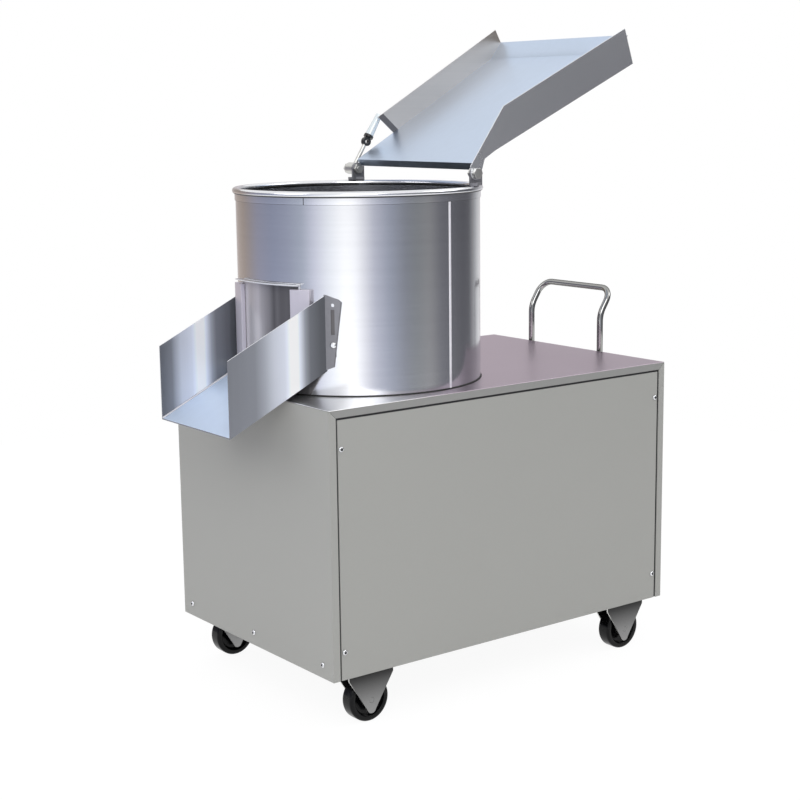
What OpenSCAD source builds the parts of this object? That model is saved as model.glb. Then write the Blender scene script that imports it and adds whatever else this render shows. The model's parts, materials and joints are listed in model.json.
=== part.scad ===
// Vegetable washing and peeling machine: a stainless tub on a wheeled cabinet.
// +X is the handle end, -X the discharge end, the floor is z = 0.

/* [Cabinet] */
// Length of the cabinet
cab_l = 620; // [580:1:720]
// Width of the cabinet
cab_w = 400; // [390:1:480]
// Height of the cabinet, lower edge to deck
cab_h = 370; // [350:1:430]
// Thickness of the cabinet sheets
sheet_t = 1.5; // [1:0.1:2.5]
// Height of the deck's folded side flange
deck_flange = 11; // [8:0.5:18]
// Width of the end panels' folded corner flange
corner_flange = 11; // [8:0.5:16]
// Gap around each side panel
panel_gap = 3; // [1:0.1:4]
// How far the side panels sit inside the corner flanges' outer faces
panel_inset = 0.8; // [0.3:0.1:1.4]
// Leg width of the frame's angle iron
frame_leg = 26; // [22:1:34]
// Thickness of the frame's angle iron
frame_t = 3; // [2:0.5:5]
// Length of the caster plates in the frame's corners
pad_l = 118; // [110:1:130]
// Width of the caster plates in the frame's corners
pad_w = 62; // [50:1:80]
// Thickness of the caster plates in the frame's corners
pad_t = 4; // [3:0.5:8]

/* [Panel screws] */
// Shank diameter of the panel screws
screw_d = 4; // [3:0.5:5]
// Head diameter of the panel screws
screw_head_d = 8; // [7:0.5:10]
// Head height of the panel screws
screw_head_h = 2.4; // [1.5:0.1:3.5]
// Distance of the side screws from the cabinet's ends
side_screw_x = 19; // [16:1:24]
// Height of the lower side screws above the cabinet's lower edge
side_screw_low = 39; // [34:1:90]
// Depth of the upper side screws below the deck
side_screw_high = 53; // [40:1:100]
// Height of the end screws above the cabinet's lower edge
end_screw_z = 19; // [15:1:22]
// Distance of the outer end screws from the cabinet's sides
end_screw_y = 25; // [20:1:60]

/* [Casters] */
// Height of the cabinet's lower edge above the floor
caster_h = 74; // [70:1:90]
// Diameter of the wheels
wheel_d = 64; // [52:1:66]
// Width of the wheels' tread
wheel_w = 22; // [18:1:26]
// Diameter of the raised rim inside the tread
wheel_rim_d = 49; // [40:1:50]
// Diameter of the wheel hub
wheel_hub_d = 20; // [16:1:24]
// Thickness of the wheel's web
wheel_web = 10; // [6:1:14]
// Diameter of the axle pins
axle_d = 8; // [6:1:10]
// Distance of the axles from the cabinet's ends
caster_x = 68; // [64:1:70]
// Distance of the wheels' middle from the cabinet's sides
caster_y = 24; // [22:1:30]
// Thickness of the fork sheet
fork_t = 2.5; // [2:0.1:4]
// Space between the tread and each fork cheek
fork_gap = 2; // [1:0.1:3]
// Width of the fork cheeks at the top
fork_top = 74; // [66:1:80]
// Height of the fork cheeks' upright upper edge
fork_edge = 8; // [5:0.5:12]
// Radius of the fork cheeks' tip
fork_tip_r = 7; // [5:0.5:9]
// Distance of the fork tip's centre below the axle
fork_tip_drop = 12; // [8:0.5:14]
// Distance of the caster bolts from the axle, along the cart
caster_bolt_x = 41; // [40:0.5:44]
// Diameter of the caster bolts
caster_bolt_d = 6; // [5:0.5:8]

/* [Tub] */
// Outside diameter of the tub
tub_d = 350; // [340:1:370]
// Height of the tub above the deck
tub_h = 277; // [260:1:320]
// Wall of the tub
tub_t = 2; // [1.5:0.1:3]
// Distance of the tub's axis from the cabinet's front end
tub_inset = 195; // [190:1:230]
// Radius of the rolled rim bead
bead_r = 4.5; // [3.5:0.1:6]
// Height of the rim band under the bead
band_h = 9; // [6:0.5:20]
// Thickness of the rim band
band_t = 1.2; // [0.8:0.1:2]
// Thickness of the abrasive liner
liner_t = 3; // [2:0.5:5]
// Height of the abrasive liner
liner_h = 190; // [170:1:220]
// Thickness of the tub floor
floor_t = 2; // [1.5:0.1:4]
// Inside diameter of the tub floor's collar
collar_d = 34; // [30:1:44]
// Height of the tub floor's collar
collar_h = 16; // [10:1:18]

/* [Peeling disc] */
// Diameter of the disc
disc_d = 328; // [300:1:330]
// Thickness of the disc
disc_t = 8; // [6:0.5:12]
// Height of the disc's underside above the deck
disc_rise = 24; // [22:0.5:30]
// Radius of the disc's waves
wave_r = 14; // [12:0.5:18]
// Number of waves on the disc
wave_count = 3; // [2:1:5]
// Across-flats size of the disc nut
disc_nut_af = 30; // [26:1:36]

/* [Drive] */
// Diameter of the drive shaft
shaft_d = 25; // [22:1:28]
// Diameter of the shaft's upper end
shaft_top_d = 18; // [14:1:20]
// Outside diameter of the bearings
bearing_d = 52; // [47:1:62]
// Width of the bearings
bearing_w = 15; // [12:1:18]
// Thickness of the shaft seal
seal_t = 8; // [6:0.5:10]
// Wall of the bearing housing
housing_wall = 14; // [10:1:18]
// Length of the bearing housing
housing_l = 96; // [90:1:110]
// Diameter of the housing flange
housing_flange_d = 134; // [130:1:150]
// Thickness of the housing flange
housing_flange_t = 10; // [8:1:14]
// Bolt circle of the housing flange
housing_pcd = 108; // [104:1:114]
// Diameter of the drive bolts
drive_bolt_d = 8; // [6:1:10]
// Thickness of the drive plate under the deck
drive_plate_t = 6; // [5:0.5:10]
// Reach of the drive plate ahead of the tub's axis
plate_front = 118; // [105:1:125]
// Pitch diameter of the driven pulley
driven_pitch_d = 162; // [140:1:170]
// Pitch diameter of the motor pulley
motor_pitch_d = 54; // [48:1:66]
// Width of the pulleys
pulley_w = 20; // [18:1:24]
// Drop of the pulleys' middle below the bearing housing
pulley_drop = 18; // [16:1:26]
// Top width of the belt
belt_w = 12.5; // [10:0.5:13]
// Height of the belt
belt_h = 8; // [6:0.5:9]
// Distance of the motor's axis from the tub's axis
motor_gap = 310; // [300:1:330]

/* [Motor] */
// Diameter of the motor body
motor_d = 132; // [120:1:140]
// Length of the motor body
motor_l = 150; // [140:1:160]
// Number of cooling ribs
rib_count = 24; // [12:1:32]
// Height of the cooling ribs
rib_h = 5; // [3:0.5:8]
// Diameter of the rotor core
rotor_d = 72; // [60:1:84]
// Diameter of the motor shaft
motor_shaft_d = 19; // [16:1:22]
// Thickness of the motor's end shields
shield_t = 14; // [12:1:20]
// Length of the fan cover
fan_cover_l = 34; // [30:1:42]
// Distance of the motor's axis from its feet
motor_foot = 82; // [80:1:92]
// Thickness of the motor bracket
bracket_t = 6; // [5:0.5:8]
// Width of the motor bracket
bracket_w = 150; // [140:1:160]
// Width of the terminal box
terminal_w = 60; // [50:1:80]
// Height of the terminal box
terminal_h = 80; // [60:1:100]
// Depth of the terminal box
terminal_t = 26; // [20:1:30]

/* [Discharge] */
// Distance of the chute's outer end from the tub's axis
chute_reach = 291; // [250:1:320]
// Height of the chute floor above the deck at the cabinet's front edge
chute_clear = 8.6; // [8:0.1:14]
// Slope of the chute floor in degrees
chute_slope = 25.4; // [25.4:0.1:32]
// Inside width of the chute
chute_w = 180; // [176:1:196]
// Upright height of the chute walls
chute_wall = 102; // [92:1:112]
// Sheet thickness of the chute
chute_t = 1.5; // [1:0.1:2.5]
// Sideways offset of the chute's middle from the tub's axis
chute_offset = -20; // [-26:1:20]
// Width of the chute's bolted flanges
chute_flange = 16; // [13:0.5:20]
// Diameter of the chute bolts
chute_bolt_d = 5; // [4:0.5:6]
// Width of the doorway in the tub
door_w = 98; // [80:1:104]
// Height of the gate
gate_h = 118; // [100:1:130]
// Sheet thickness of the gate
gate_t = 1.5; // [1:0.1:2]
// Reach of the gate's pull lip
gate_lip = 10; // [7:0.5:14]
// Width of the gate guides
guide_w = 29; // [24:1:32]
// Thickness of the gate guides
guide_t = 8; // [6:0.5:10]

/* [Feed tray] */
// Length of the tray floor
feed_l = 340; // [300:1:400]
// Outside width of the tray
feed_w = 290; // [270:1:300]
// Height of the tray's far wall
feed_wall = 37; // [30:1:60]
// Set-back of the near wall's upper front corner
feed_cut = 80; // [60:1:100]
// Set-back of the far wall's upper front corner
far_cut = 66; // [50:1:90]
// Height of the near wall at its upper front corner
near_front_h = 46; // [35:1:60]
// Height of the near wall at the tray's outer end
near_rear_h = 25; // [15:1:45]
// Depth of the near wall below the floor at the tray's outer end
near_skirt = 28; // [0:1:40]
// Rake of the near wall's outer end
near_rake = 10; // [0:1:20]
// Length of the floor's upturned outer end
feed_end = 32; // [20:1:50]
// Rise of the floor's upturned outer end
feed_end_rise = 13; // [5:1:20]
// Sheet thickness of the tray
feed_t = 1.5; // [1:0.1:2.5]
// Height of the tray's folded front lip
feed_lip = 10; // [6:0.5:12]
// Resting tilt of the tray in degrees
feed_tilt = 29.7; // [15:0.1:40]
// Distance of the hinge axis behind the tub's axis
hinge_x = 100; // [95:1:108]
// Height of the hinge axis above the rim
hinge_rise = 17; // [15:0.5:24]
// Diameter of the hinge bolts
hinge_d = 8; // [6:0.5:8]
// Thickness of the hinge brackets
hinge_t = 3; // [2:0.5:5]
// Diameter of the tray's stay tube
stay_d = 12; // [10:0.5:14]

/* [Push handle] */
// Diameter of the handle rod
rod_d = 9.5; // [8:0.5:12]
// Distance between the handle legs
handle_w = 163; // [140:1:220]
// Sideways offset of the handle's middle
handle_offset = 30; // [-60:1:40]
// Height of the handle legs' bend above the deck
handle_knee = 58; // [44:1:80]
// Length of the handle above the bend
handle_top = 46.5; // [42:0.5:90]
// Lean of the handle's upper part in degrees
handle_lean = 33; // [0:1:45]
// Bend radius at the handle's knees
knee_r = 40; // [20:1:50]
// Bend radius at the handle's corners
corner_r = 22; // [12:1:24]
// Thickness of the handle's foot plate
foot_t = 4; // [3:0.5:6]
// Height of the handle's foot plate
foot_h = 52; // [46:1:70]

/* [Services] */
// Outside diameter of the drain pipe
drain_d = 42; // [32:1:48]
// Wall of the drain pipe
drain_t = 2; // [1.5:0.1:3]
// Sideways distance of the drain pipe from the tub's axis
drain_y = 112; // [108:1:118]
// Distance of the drain's hole behind the tub's axis
drain_x = 62; // [55:1:72]
// Height of the drain's outlet above the cabinet's lower edge
drain_z = 78; // [70:1:120]
// Length of the drain stub outside the cabinet
drain_stub = 34; // [30:1:36]
// Outside diameter of the water inlet
inlet_d = 16; // [13:0.5:20]
// Bore of the water inlet
inlet_bore = 11; // [8:0.5:11.5]
// Length of the water inlet's hose tail
inlet_l = 30; // [26:1:36]
// Depth of the water inlet below the rim
inlet_drop = 45; // [40:1:60]
// Direction of the water inlet round the tub in degrees
inlet_turn = 52; // [40:1:62]
// Width of the switch plate
switch_w = 56; // [50:1:70]
// Height of the switch plate
switch_h = 98; // [90:1:120]
// Thickness of the switch plate
switch_t = 5; // [4:0.5:8]
// Depth of the switch box behind the panel
switch_depth = 36; // [30:1:40]
// Diameter of the push buttons
button_d = 22; // [18:1:26]
// Travel of the push buttons
button_travel = 4; // [3:0.5:5]
// Distance between the push buttons
button_gap = 46; // [40:1:52]
// Distance of the switch and the cable gland from the cabinet's far side
switch_y = 58; // [54:1:64]
// Depth of the switch's middle below the deck
switch_drop = 150; // [140:1:180]
// Bore of the cable gland
gland_bore = 10; // [8:0.5:12]
// Outside diameter of the cable gland's thread
gland_d = 20; // [18:1:24]
// Height of the cable gland above the cabinet's lower edge
gland_z = 80; // [70:1:110]

/* [Hidden] */
$fn = 64;
// Radial clearance of a piece that turns or slides on another
run_fit = 0.06;
// Radial clearance of a fixed round piece in its seat
seat_fit = 0.03;
// Space between pieces that move past each other
play = 0.3;
// Depth of a weld between two welded members
weld = 1.5;
// Reach of a cut past the faces that it opens
over = 1;
// Lengths of the drills for bolt and pipe holes
drill_short_l = 40;
drill_l = 60;
drill_long_l = 80;
// Heights of the bolt heads and nuts, and the bolts' reach past their nuts
bolt_head_h = 4;
bolt_nut_h = 5;
bolt_past = 4;
// Hub, back plate and blades of the motor's fan, and the fan's space in its cover
fan_hub_h = 12;
fan_hub_t = 6;
fan_back_t = 3;
fan_blade_t = 2;
fan_space = 6;
// Length of a cut that passes right through the cabinet
through = 2000;

// Reach of the handle past the cabinet's rear end
rear_reach = foot_t + rod_d - weld + handle_top * sin(handle_lean);
// Reach of the chute past the cabinet's front end
front_reach = chute_reach - tub_inset;
// Front end of the cabinet, with the whole object centred on the origin
front_x = (front_reach - rear_reach - cab_l) / 2;
rear_x = front_x + cab_l;
deck_z = caster_h + cab_h;
deck_under = deck_z - sheet_t;
tub_x = front_x + tub_inset;
tub_r = tub_d / 2;
tub_in = tub_r - tub_t;
rim_z = deck_z + tub_h;
motor_x = tub_x + motor_gap;

// Outer faces of the frame inside the panels
frame_x0 = front_x + sheet_t;
frame_x1 = rear_x - sheet_t;
frame_y = cab_w / 2 - panel_inset - sheet_t;
frame_top = deck_under;

// Heights in the drive, from the deck down
plate_top = deck_under - frame_t;
plate_under = plate_top - drive_plate_t;
housing_under = plate_under - housing_l;
pulley_z = housing_under - pulley_drop;
disc_z = deck_z + disc_rise;
disc_top = disc_z + disc_t;
nut_h = 12;
groove_deep = 3;
belt_above = 2;

// Heights in the motor, from the pulley down
motor_top = pulley_z - pulley_w / 2 - 8;
body_top = motor_top - shield_t;
body_under = body_top - motor_l;
shield_under = body_under - shield_t;
motor_r = motor_d / 2;

// Angles round the tub, measured from +X
door_turn = 180 - asin(chute_offset / tub_r);
door_half = asin(door_w / 2 / tub_r);
guide_half = guide_w / tub_r * 180 / PI;
gate_grip = guide_half * 0.42;
guide_slack = 0.6;
gate_in = tub_r + play;
gate_out = gate_in + gate_t;

// Height of the chute floor at a distance in front of the tub's axis
function chute_z(reach) = deck_z + chute_clear + (tub_inset - reach) * tan(chute_slope);
near_wall_y = chute_offset - chute_w / 2;
far_wall_y = chute_offset + chute_w / 2;
guide_end = door_half + guide_slack + guide_half;
sill_reach = tub_r * cos(guide_end + abs(asin(chute_offset / tub_r)));
guide_foot = 3;
gate_z = chute_z(sill_reach) + guide_foot + play;
gate_top = gate_z + gate_h;
chute_seat = tub_r + seat_fit;

// Hinge of the feed tray
hinge_z = rim_z + hinge_rise;
hinge_world_x = tub_x + hinge_x;
lug_r = 9;
hinge_nut_r = hinge_d * 0.9;
feed_front = hinge_nut_r + 2.3;
feed_floor = 9;
skirt_from = 36;
ledge_l = 4;
bracket_out = feed_w / 2 - feed_t - play;
bracket_in = bracket_out - hinge_t;
eye_w = 18;
stay_y = bracket_out + play + eye_w / 2;
stay_top_x = feed_front + far_cut + 4.5;
stay_top_z = feed_floor + feed_wall - 4;

// Colours
steel = "silver";
panel_grey = [0.63, 0.63, 0.61];
dark = [0.12, 0.12, 0.13];
iron = [0.42, 0.43, 0.45];
motor_blue = [0.30, 0.36, 0.42];

// A ring of rectangular section about the Z axis
module ring(r_in, r_out, h) {
  difference() {
    cylinder(r = r_out, h = h);
    translate([0, 0, -over]) cylinder(r = r_in, h = h + 2 * over);
  }
}

// A piece of the tub's wall: radii, heights, and angles about the tub's axis
module tub_sector(r_in, r_out, z0, z1, a0, a1) {
  translate([tub_x, 0, z0]) rotate([0, 0, a0]) rotate_extrude(angle = a1 - a0, $fn = 128)
    translate([r_in, 0]) square([r_out - r_in, z1 - z0]);
}

// A hexagon prism given its across-flats size
module hex(af, h) {
  cylinder(d = af / cos(30), h = h, $fn = 6);
}

// A box given by two corners
module block(low, high) {
  translate(low) cube(high - low);
}

// An upright plate across the cart: its outline in X and Z, drawn from y0 to y1
module upright(y0, y1) {
  translate([0, y1, 0]) rotate([90, 0, 0]) linear_extrude(y1 - y0) children();
}

// Children at the screw places of a side panel; side is -1 for near, 1 for far
module at_side_screws(side) {
  for (x = [front_x + side_screw_x, rear_x - side_screw_x])
    for (z = [caster_h + side_screw_low, deck_z - side_screw_high])
      translate([x, side * (cab_w / 2 - panel_inset), z]) rotate([-90 * side, 0, 0]) children();
}

// Children at the screw places of an end panel; end is -1 for front, 1 for rear
module at_end_screws(end) {
  for (y = [end_screw_y - cab_w / 2, 0, cab_w / 2 - end_screw_y])
    translate([end < 0 ? front_x : rear_x, y, caster_h + end_screw_z]) rotate([0, 90 * end, 0]) children();
}

// Children at the four casters
module at_casters() {
  for (end = [-1, 1]) for (side = [-1, 1]) at_caster(end, side) children();
}

// Children at one caster, on the floor under the wheel
module at_caster(end, side) {
  x = end < 0 ? front_x + caster_x : rear_x - caster_x;
  translate([x, side * (cab_w / 2 - caster_y), 0]) children();
}

// Bolts of a caster, at the underside of its fork plate
module at_caster_bolts() {
  at_casters() for (dx = [-caster_bolt_x, caster_bolt_x]) translate([dx, 0, caster_h - fork_t]) children();
}

// Bolts of the bearing housing and corners of the drive plate
plate_x0 = tub_x - plate_front;
plate_x1 = motor_x + bracket_w / 2 + 4;
plate_y = frame_y - frame_t - play;
module at_housing_bolts() {
  for (a = [45 : 90 : 315]) translate([tub_x, 0, 0]) rotate(a) translate([housing_pcd / 2, 0, 0]) children();
}
module at_plate_bolts() {
  for (x = [plate_x0 + 20, plate_x1 - 20]) for (side = [-1, 1])
    translate([x, side * (frame_y - frame_leg / 2 - frame_t / 2), 0]) children();
}
module at_bracket_bolts() {
  for (dx = [-bracket_w / 3, bracket_w / 3])
    translate([motor_x + dx, motor_foot + bracket_t + bracket_flange / 2, 0]) children();
}
bracket_flange = 34;

// Places of the motor's foot bolts on the bracket's face
foot_bolt_z = 45;
foot_thick = 12;
bracket_under = body_under + motor_l / 2 - foot_bolt_z - 24;
module at_foot_bolts() {
  for (dx = [-bracket_w / 2 + 16, bracket_w / 2 - 16]) for (dz = [-foot_bolt_z, foot_bolt_z])
    translate([motor_x + dx, motor_foot, body_under + motor_l / 2 + dz]) rotate([-90, 0, 0]) children();
}

// Angle-iron frame: a box of sheet with a window in every face, and a plate over each caster
module base_frame() {
  color(iron) difference() {
    union() {
      difference() {
        block([frame_x0, -frame_y, caster_h], [frame_x1, frame_y, frame_top]);
        block([frame_x0 + frame_t, frame_t - frame_y, caster_h + frame_t],
          [frame_x1 - frame_t, frame_y - frame_t, frame_top - frame_t]);
        block([frame_x0 - over, frame_leg - frame_y, caster_h + frame_leg],
          [frame_x1 + over, frame_y - frame_leg, frame_top - frame_leg]);
        block([frame_x0 + frame_leg, -frame_y - over, caster_h + frame_leg],
          [frame_x1 - frame_leg, frame_y + over, frame_top - frame_leg]);
        block([frame_x0 + frame_leg, frame_leg - frame_y, caster_h - over],
          [frame_x1 - frame_leg, frame_y - frame_leg, frame_top + over]);
      }
      for (x = [frame_x0, frame_x1 - pad_l]) for (y = [-frame_y, frame_y - pad_w])
        translate([x, y, caster_h]) cube([pad_l, pad_w, pad_t]);
    }
    for (side = [-1, 1]) at_side_screws(side)
      cylinder(d = screw_d + 2 * seat_fit, h = drill_l, center = true);
    for (end = [-1, 1]) at_end_screws(end) cylinder(d = screw_d + 2 * seat_fit, h = drill_l, center = true);
    at_caster_bolts() cylinder(d = caster_bolt_d + 2 * seat_fit, h = drill_l, center = true);
    at_plate_bolts() translate([0, 0, frame_top])
      cylinder(d = drive_bolt_d + 2 * seat_fit, h = drill_l, center = true);
    at_handle_bolts() cylinder(d = handle_bolt_d + 2 * seat_fit, h = drill_l, center = true);
  }
}

// Outline of the deck's side flange, mitred to the corner flanges
module deck_flange_outline() {
  polygon([[front_x, deck_z], [front_x + corner_flange, deck_z - deck_flange],
    [rear_x - corner_flange, deck_z - deck_flange], [rear_x, deck_z]]);
}

// Deck with its folded flanges along both sides
module top_deck() {
  color(steel) difference() {
    union() {
      block([front_x, -cab_w / 2, deck_under], [rear_x, cab_w / 2, deck_z]);
      upright(-cab_w / 2, sheet_t - cab_w / 2) deck_flange_outline();
      upright(cab_w / 2 - sheet_t, cab_w / 2) deck_flange_outline();
    }
    translate([tub_x, 0, deck_under - over]) cylinder(d = collar_d, h = sheet_t + 2 * over);
    drain_hole();
  }
}

// Side panel inside the corner flanges
module side_panel(side) {
  y0 = cab_w / 2 - panel_inset - sheet_t;
  color(panel_grey) difference() {
    block([front_x + corner_flange + panel_gap, min(side * y0, side * (y0 + sheet_t)), caster_h],
      [rear_x - corner_flange - panel_gap, max(side * y0, side * (y0 + sheet_t)),
        deck_z - deck_flange - panel_gap]);
    at_side_screws(side) cylinder(d = screw_d + 2 * seat_fit, h = drill_l, center = true);
  }
}

// End panel: a face with a mitred flange folded round each corner; end is -1 for front, 1 for rear
module end_panel(end) {
  face = end < 0 ? front_x : rear_x;
  color(panel_grey) difference() {
    union() {
      block([min(face, face - end * sheet_t), -cab_w / 2, caster_h],
        [max(face, face - end * sheet_t), cab_w / 2, deck_under]);
      for (y = [-cab_w / 2, cab_w / 2 - sheet_t]) upright(y, y + sheet_t)
        polygon([[face, caster_h], [face - end * corner_flange, caster_h],
          [face - end * corner_flange, deck_z - deck_flange - play], [face, deck_z - play]]);
    }
    block([front_x - over, -cab_w, deck_under], [rear_x + over, cab_w, deck_z + over]);
    at_end_screws(end) cylinder(d = screw_d + 2 * seat_fit, h = drill_l, center = true);
    if (end > 0) {
      switch_cut();
      gland_place() cylinder(d = gland_d + 2 * seat_fit, h = drill_l, center = true);
      translate([rear_x, -drain_y, caster_h + drain_z]) rotate([0, 90, 0])
        cylinder(d = drain_d + 2 * play, h = drill_l, center = true);
      at_handle_bolts() cylinder(d = handle_bolt_d + 2 * seat_fit, h = drill_l, center = true);
    }
  }
}

// One panel screw, its head outwards along +Z
module panel_screw(grip) {
  cylinder(d = screw_head_d, h = screw_head_h * 0.6);
  translate([0, 0, screw_head_h * 0.6])
    cylinder(d1 = screw_head_d, d2 = screw_head_d * 0.6, h = screw_head_h * 0.4);
  translate([0, 0, -grip]) cylinder(d = screw_d, h = grip + over);
}

// All panel screws
module panel_screws() {
  grip = sheet_t + frame_t + 5;
  color(steel) for (s = [-1, 1]) {
    at_side_screws(s) panel_screw(grip);
    at_end_screws(s) panel_screw(grip);
  }
}

// Outline of a fork cheek, its tip towards the floor
module fork_outline() {
  tip = [0, wheel_d / 2 - fork_tip_drop];
  top = caster_h;
  shoulder = [fork_top / 2, top - fork_edge];
  // Direction from the tip's centre to the shoulder, and the foot of the side just inside the tip circle
  reach = shoulder - tip;
  foot_r = fork_tip_r * 0.96;
  turn = atan2(reach[1], reach[0]) - acos(foot_r / norm(reach));
  touch = tip + foot_r * [cos(turn), sin(turn)];
  polygon([[-shoulder[0], top], [shoulder[0], top], shoulder, touch, tip, [-touch[0], touch[1]],
    [-shoulder[0], shoulder[1]]]);
  translate(tip) circle(r = fork_tip_r);
}

fork_in = wheel_w / 2 + fork_gap;
fork_out = fork_in + fork_t;
fork_plate_l = 2 * caster_bolt_x + 2.4 * caster_bolt_d;

// Rigid caster fork: a bolted plate with two cheeks
module caster_fork(end, side) {
  color(iron) at_caster(end, side) difference() {
    union() {
      block([-fork_plate_l / 2, -fork_out, caster_h - fork_t], [fork_plate_l / 2, fork_out, caster_h]);
      upright(-fork_out, -fork_in) fork_outline();
      upright(fork_in, fork_out) fork_outline();
    }
    translate([0, 0, wheel_d / 2]) rotate([90, 0, 0])
      cylinder(d = axle_d + 2 * seat_fit, h = 4 * fork_out, center = true);
    for (dx = [-caster_bolt_x, caster_bolt_x]) translate([dx, 0, caster_h])
      cylinder(d = caster_bolt_d + 2 * seat_fit, h = drill_short_l, center = true);
  }
}

// Wheel with a stepped rim, a web and a hub
module wheel(end, side) {
  r = wheel_d / 2;
  rim = wheel_rim_d / 2;
  half = wheel_w / 2;
  hub_half = fork_in - 0.5;
  bore = axle_d / 2 + run_fit;
  edge = 2.5;
  profile = [[bore, 0], [bore, hub_half], [wheel_hub_d / 2, hub_half], [wheel_hub_d / 2 + 1, wheel_web / 2],
    [rim - 3, wheel_web / 2], [rim - 2, half - 1.5], [rim, half - 1.5], [rim, half], [r - edge, half],
    [r - edge * 0.3, half - edge * 0.3], [r, half - edge], [r, 0]];
  color(dark) at_caster(end, side) translate([0, 0, r]) rotate([90, 0, 0]) rotate_extrude($fn = 96) {
    polygon(profile);
    mirror([0, 1]) polygon(profile);
  }
}

// Flush axle pins of the four casters
module axle_pins() {
  color(steel) at_casters() translate([0, 0, wheel_d / 2]) rotate([90, 0, 0])
    cylinder(d = axle_d, h = 2 * fork_out, center = true);
}

// Bolts that hold the casters to the frame
module caster_bolts() {
  color(steel) at_caster_bolts() {
    translate([0, 0, -bolt_head_h]) hex(caster_bolt_d * 1.6, bolt_head_h);
    cylinder(d = caster_bolt_d, h = fork_t + pad_t + bolt_nut_h + bolt_past);
    translate([0, 0, fork_t + pad_t]) hex(caster_bolt_d * 1.6, bolt_nut_h);
  }
}

// The doorway cut through the tub's wall and its liner
module doorway(extra) {
  tub_sector(tub_in - 3 * liner_t, tub_r + over, gate_z + 5 - extra, gate_top - 6 + extra,
    door_turn - door_half - extra / 3, door_turn + door_half + extra / 3);
}

// Tub wall with its doorway, bolt holes and water inlet
module tub_shell() {
  color(steel) difference() {
    translate([tub_x, 0, deck_z]) ring(tub_in, tub_r, tub_h - bead_r, $fn = 160);
    doorway(0);
    at_chute_bolts() cylinder(d = chute_bolt_d + 2 * seat_fit, h = drill_short_l, center = true);
    inlet_place() cylinder(d = inlet_d + 2 * seat_fit, h = drill_l, center = true);
  }
}

// Rolled rim: a bead over the tub's edge with a band below it
module rolled_rim() {
  color(steel) translate([tub_x, 0, 0]) rotate_extrude($fn = 160) difference() {
    union() {
      translate([tub_r, rim_z - bead_r]) circle(r = bead_r, $fn = 32);
      translate([tub_r, rim_z - 2 * bead_r - band_h]) square([band_t, band_h + bead_r]);
    }
    translate([tub_in - over, rim_z - 4 * bead_r - band_h]) square([tub_t + over, 3 * bead_r + band_h]);
  }
}

// Tub floor with the collar that keeps water off the shaft
module tub_floor() {
  color(steel) difference() {
    union() {
      translate([tub_x, 0, deck_z]) cylinder(r = tub_in - play, h = floor_t, $fn = 128);
      translate([tub_x, 0, deck_z]) cylinder(d = collar_d + 6, h = floor_t + collar_h);
    }
    translate([tub_x, 0, deck_z - over]) cylinder(d = collar_d, h = collar_h + floor_t + 2 * over);
    drain_hole();
  }
}

// Abrasive lining of the tub wall, open at the doorway
module abrasive_liner() {
  color(dark) difference() {
    translate([tub_x, 0, deck_z + floor_t + play])
      ring(tub_in - play - liner_t, tub_in - play, liner_h, $fn = 128);
    doorway(2);
  }
}

// Turning disc with raised radial waves and a hub
module peeling_disc() {
  r = disc_d / 2;
  hub_r = collar_d / 2 - 2 * play - 1;
  color(iron) translate([tub_x, 0, 0]) difference() {
    union() {
      translate([0, 0, disc_z]) rotate_extrude($fn = 128)
        polygon([[0, 0], [r - 2, 0], [r, 2], [r, disc_t - 2], [r - 2, disc_t], [0, disc_t]]);
      intersection() {
        for (i = [0 : wave_count - 1]) rotate(i * 360 / wave_count + 30) translate([disc_nut_af, 0, disc_z])
          rotate([0, 90, 0]) cylinder(r = wave_r, h = r);
        translate([0, 0, disc_z]) cylinder(r = r - 8, h = 2 * wave_r, $fn = 128);
      }
      translate([0, 0, disc_z - 8]) cylinder(r = hub_r, h = 8 + over);
    }
    translate([0, 0, disc_z - 8 - over]) cylinder(d = shaft_top_d + 2 * seat_fit, h = disc_t + 40);
  }
}

// Nut that holds the disc on the shaft
module disc_nut() {
  color(steel) translate([tub_x, 0, disc_top]) difference() {
    union() {
      hex(disc_nut_af, nut_h);
      translate([0, 0, nut_h - over]) cylinder(d1 = disc_nut_af * 0.9, d2 = disc_nut_af * 0.4, h = 10);
    }
    translate([0, 0, -over]) cylinder(d = shaft_top_d + 2 * seat_fit, h = nut_h + over);
  }
}

// Stepped shaft from the driven pulley up to the disc nut
module drive_shaft() {
  low = pulley_z - pulley_w / 2 - 4;
  step = disc_z - 8;
  color(steel) translate([tub_x, 0, 0]) {
    translate([0, 0, low]) cylinder(d = shaft_d, h = step - low);
    translate([0, 0, step - over]) cylinder(d = shaft_top_d, h = disc_top - step + nut_h);
  }
}

// Flanged housing under the drive plate, bored for two bearings and a seal
module bearing_housing() {
  seat_r = bearing_d / 2;
  color(iron) translate([tub_x, 0, 0]) difference() {
    union() {
      translate([0, 0, housing_under]) cylinder(r = seat_r + housing_wall, h = housing_l);
      translate([0, 0, plate_under - housing_flange_t]) cylinder(d = housing_flange_d, h = housing_flange_t);
    }
    translate([0, 0, housing_under - over]) cylinder(r = seat_r - 4, h = housing_l + 2 * over);
    translate([0, 0, housing_under - over]) cylinder(r = seat_r + seat_fit, h = bearing_w + over);
    translate([0, 0, plate_under - bearing_w - seal_t]) cylinder(r = seat_r + seat_fit, h = housing_l);
    translate([-tub_x, 0, 0]) at_housing_bolts() translate([0, 0, plate_under])
      cylinder(d = drive_bolt_d + 2 * seat_fit, h = drill_l, center = true);
  }
}

// A ball bearing in its shielded form, with its lower face at z
module bearing(z) {
  color(steel) translate([tub_x, 0, z]) difference() {
    ring(shaft_d / 2 + run_fit, bearing_d / 2, bearing_w);
    for (face = [-over, bearing_w - 0.6]) translate([0, 0, face])
      ring(shaft_d / 2 + 4, bearing_d / 2 - 4, 0.6 + over);
  }
}

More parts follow.
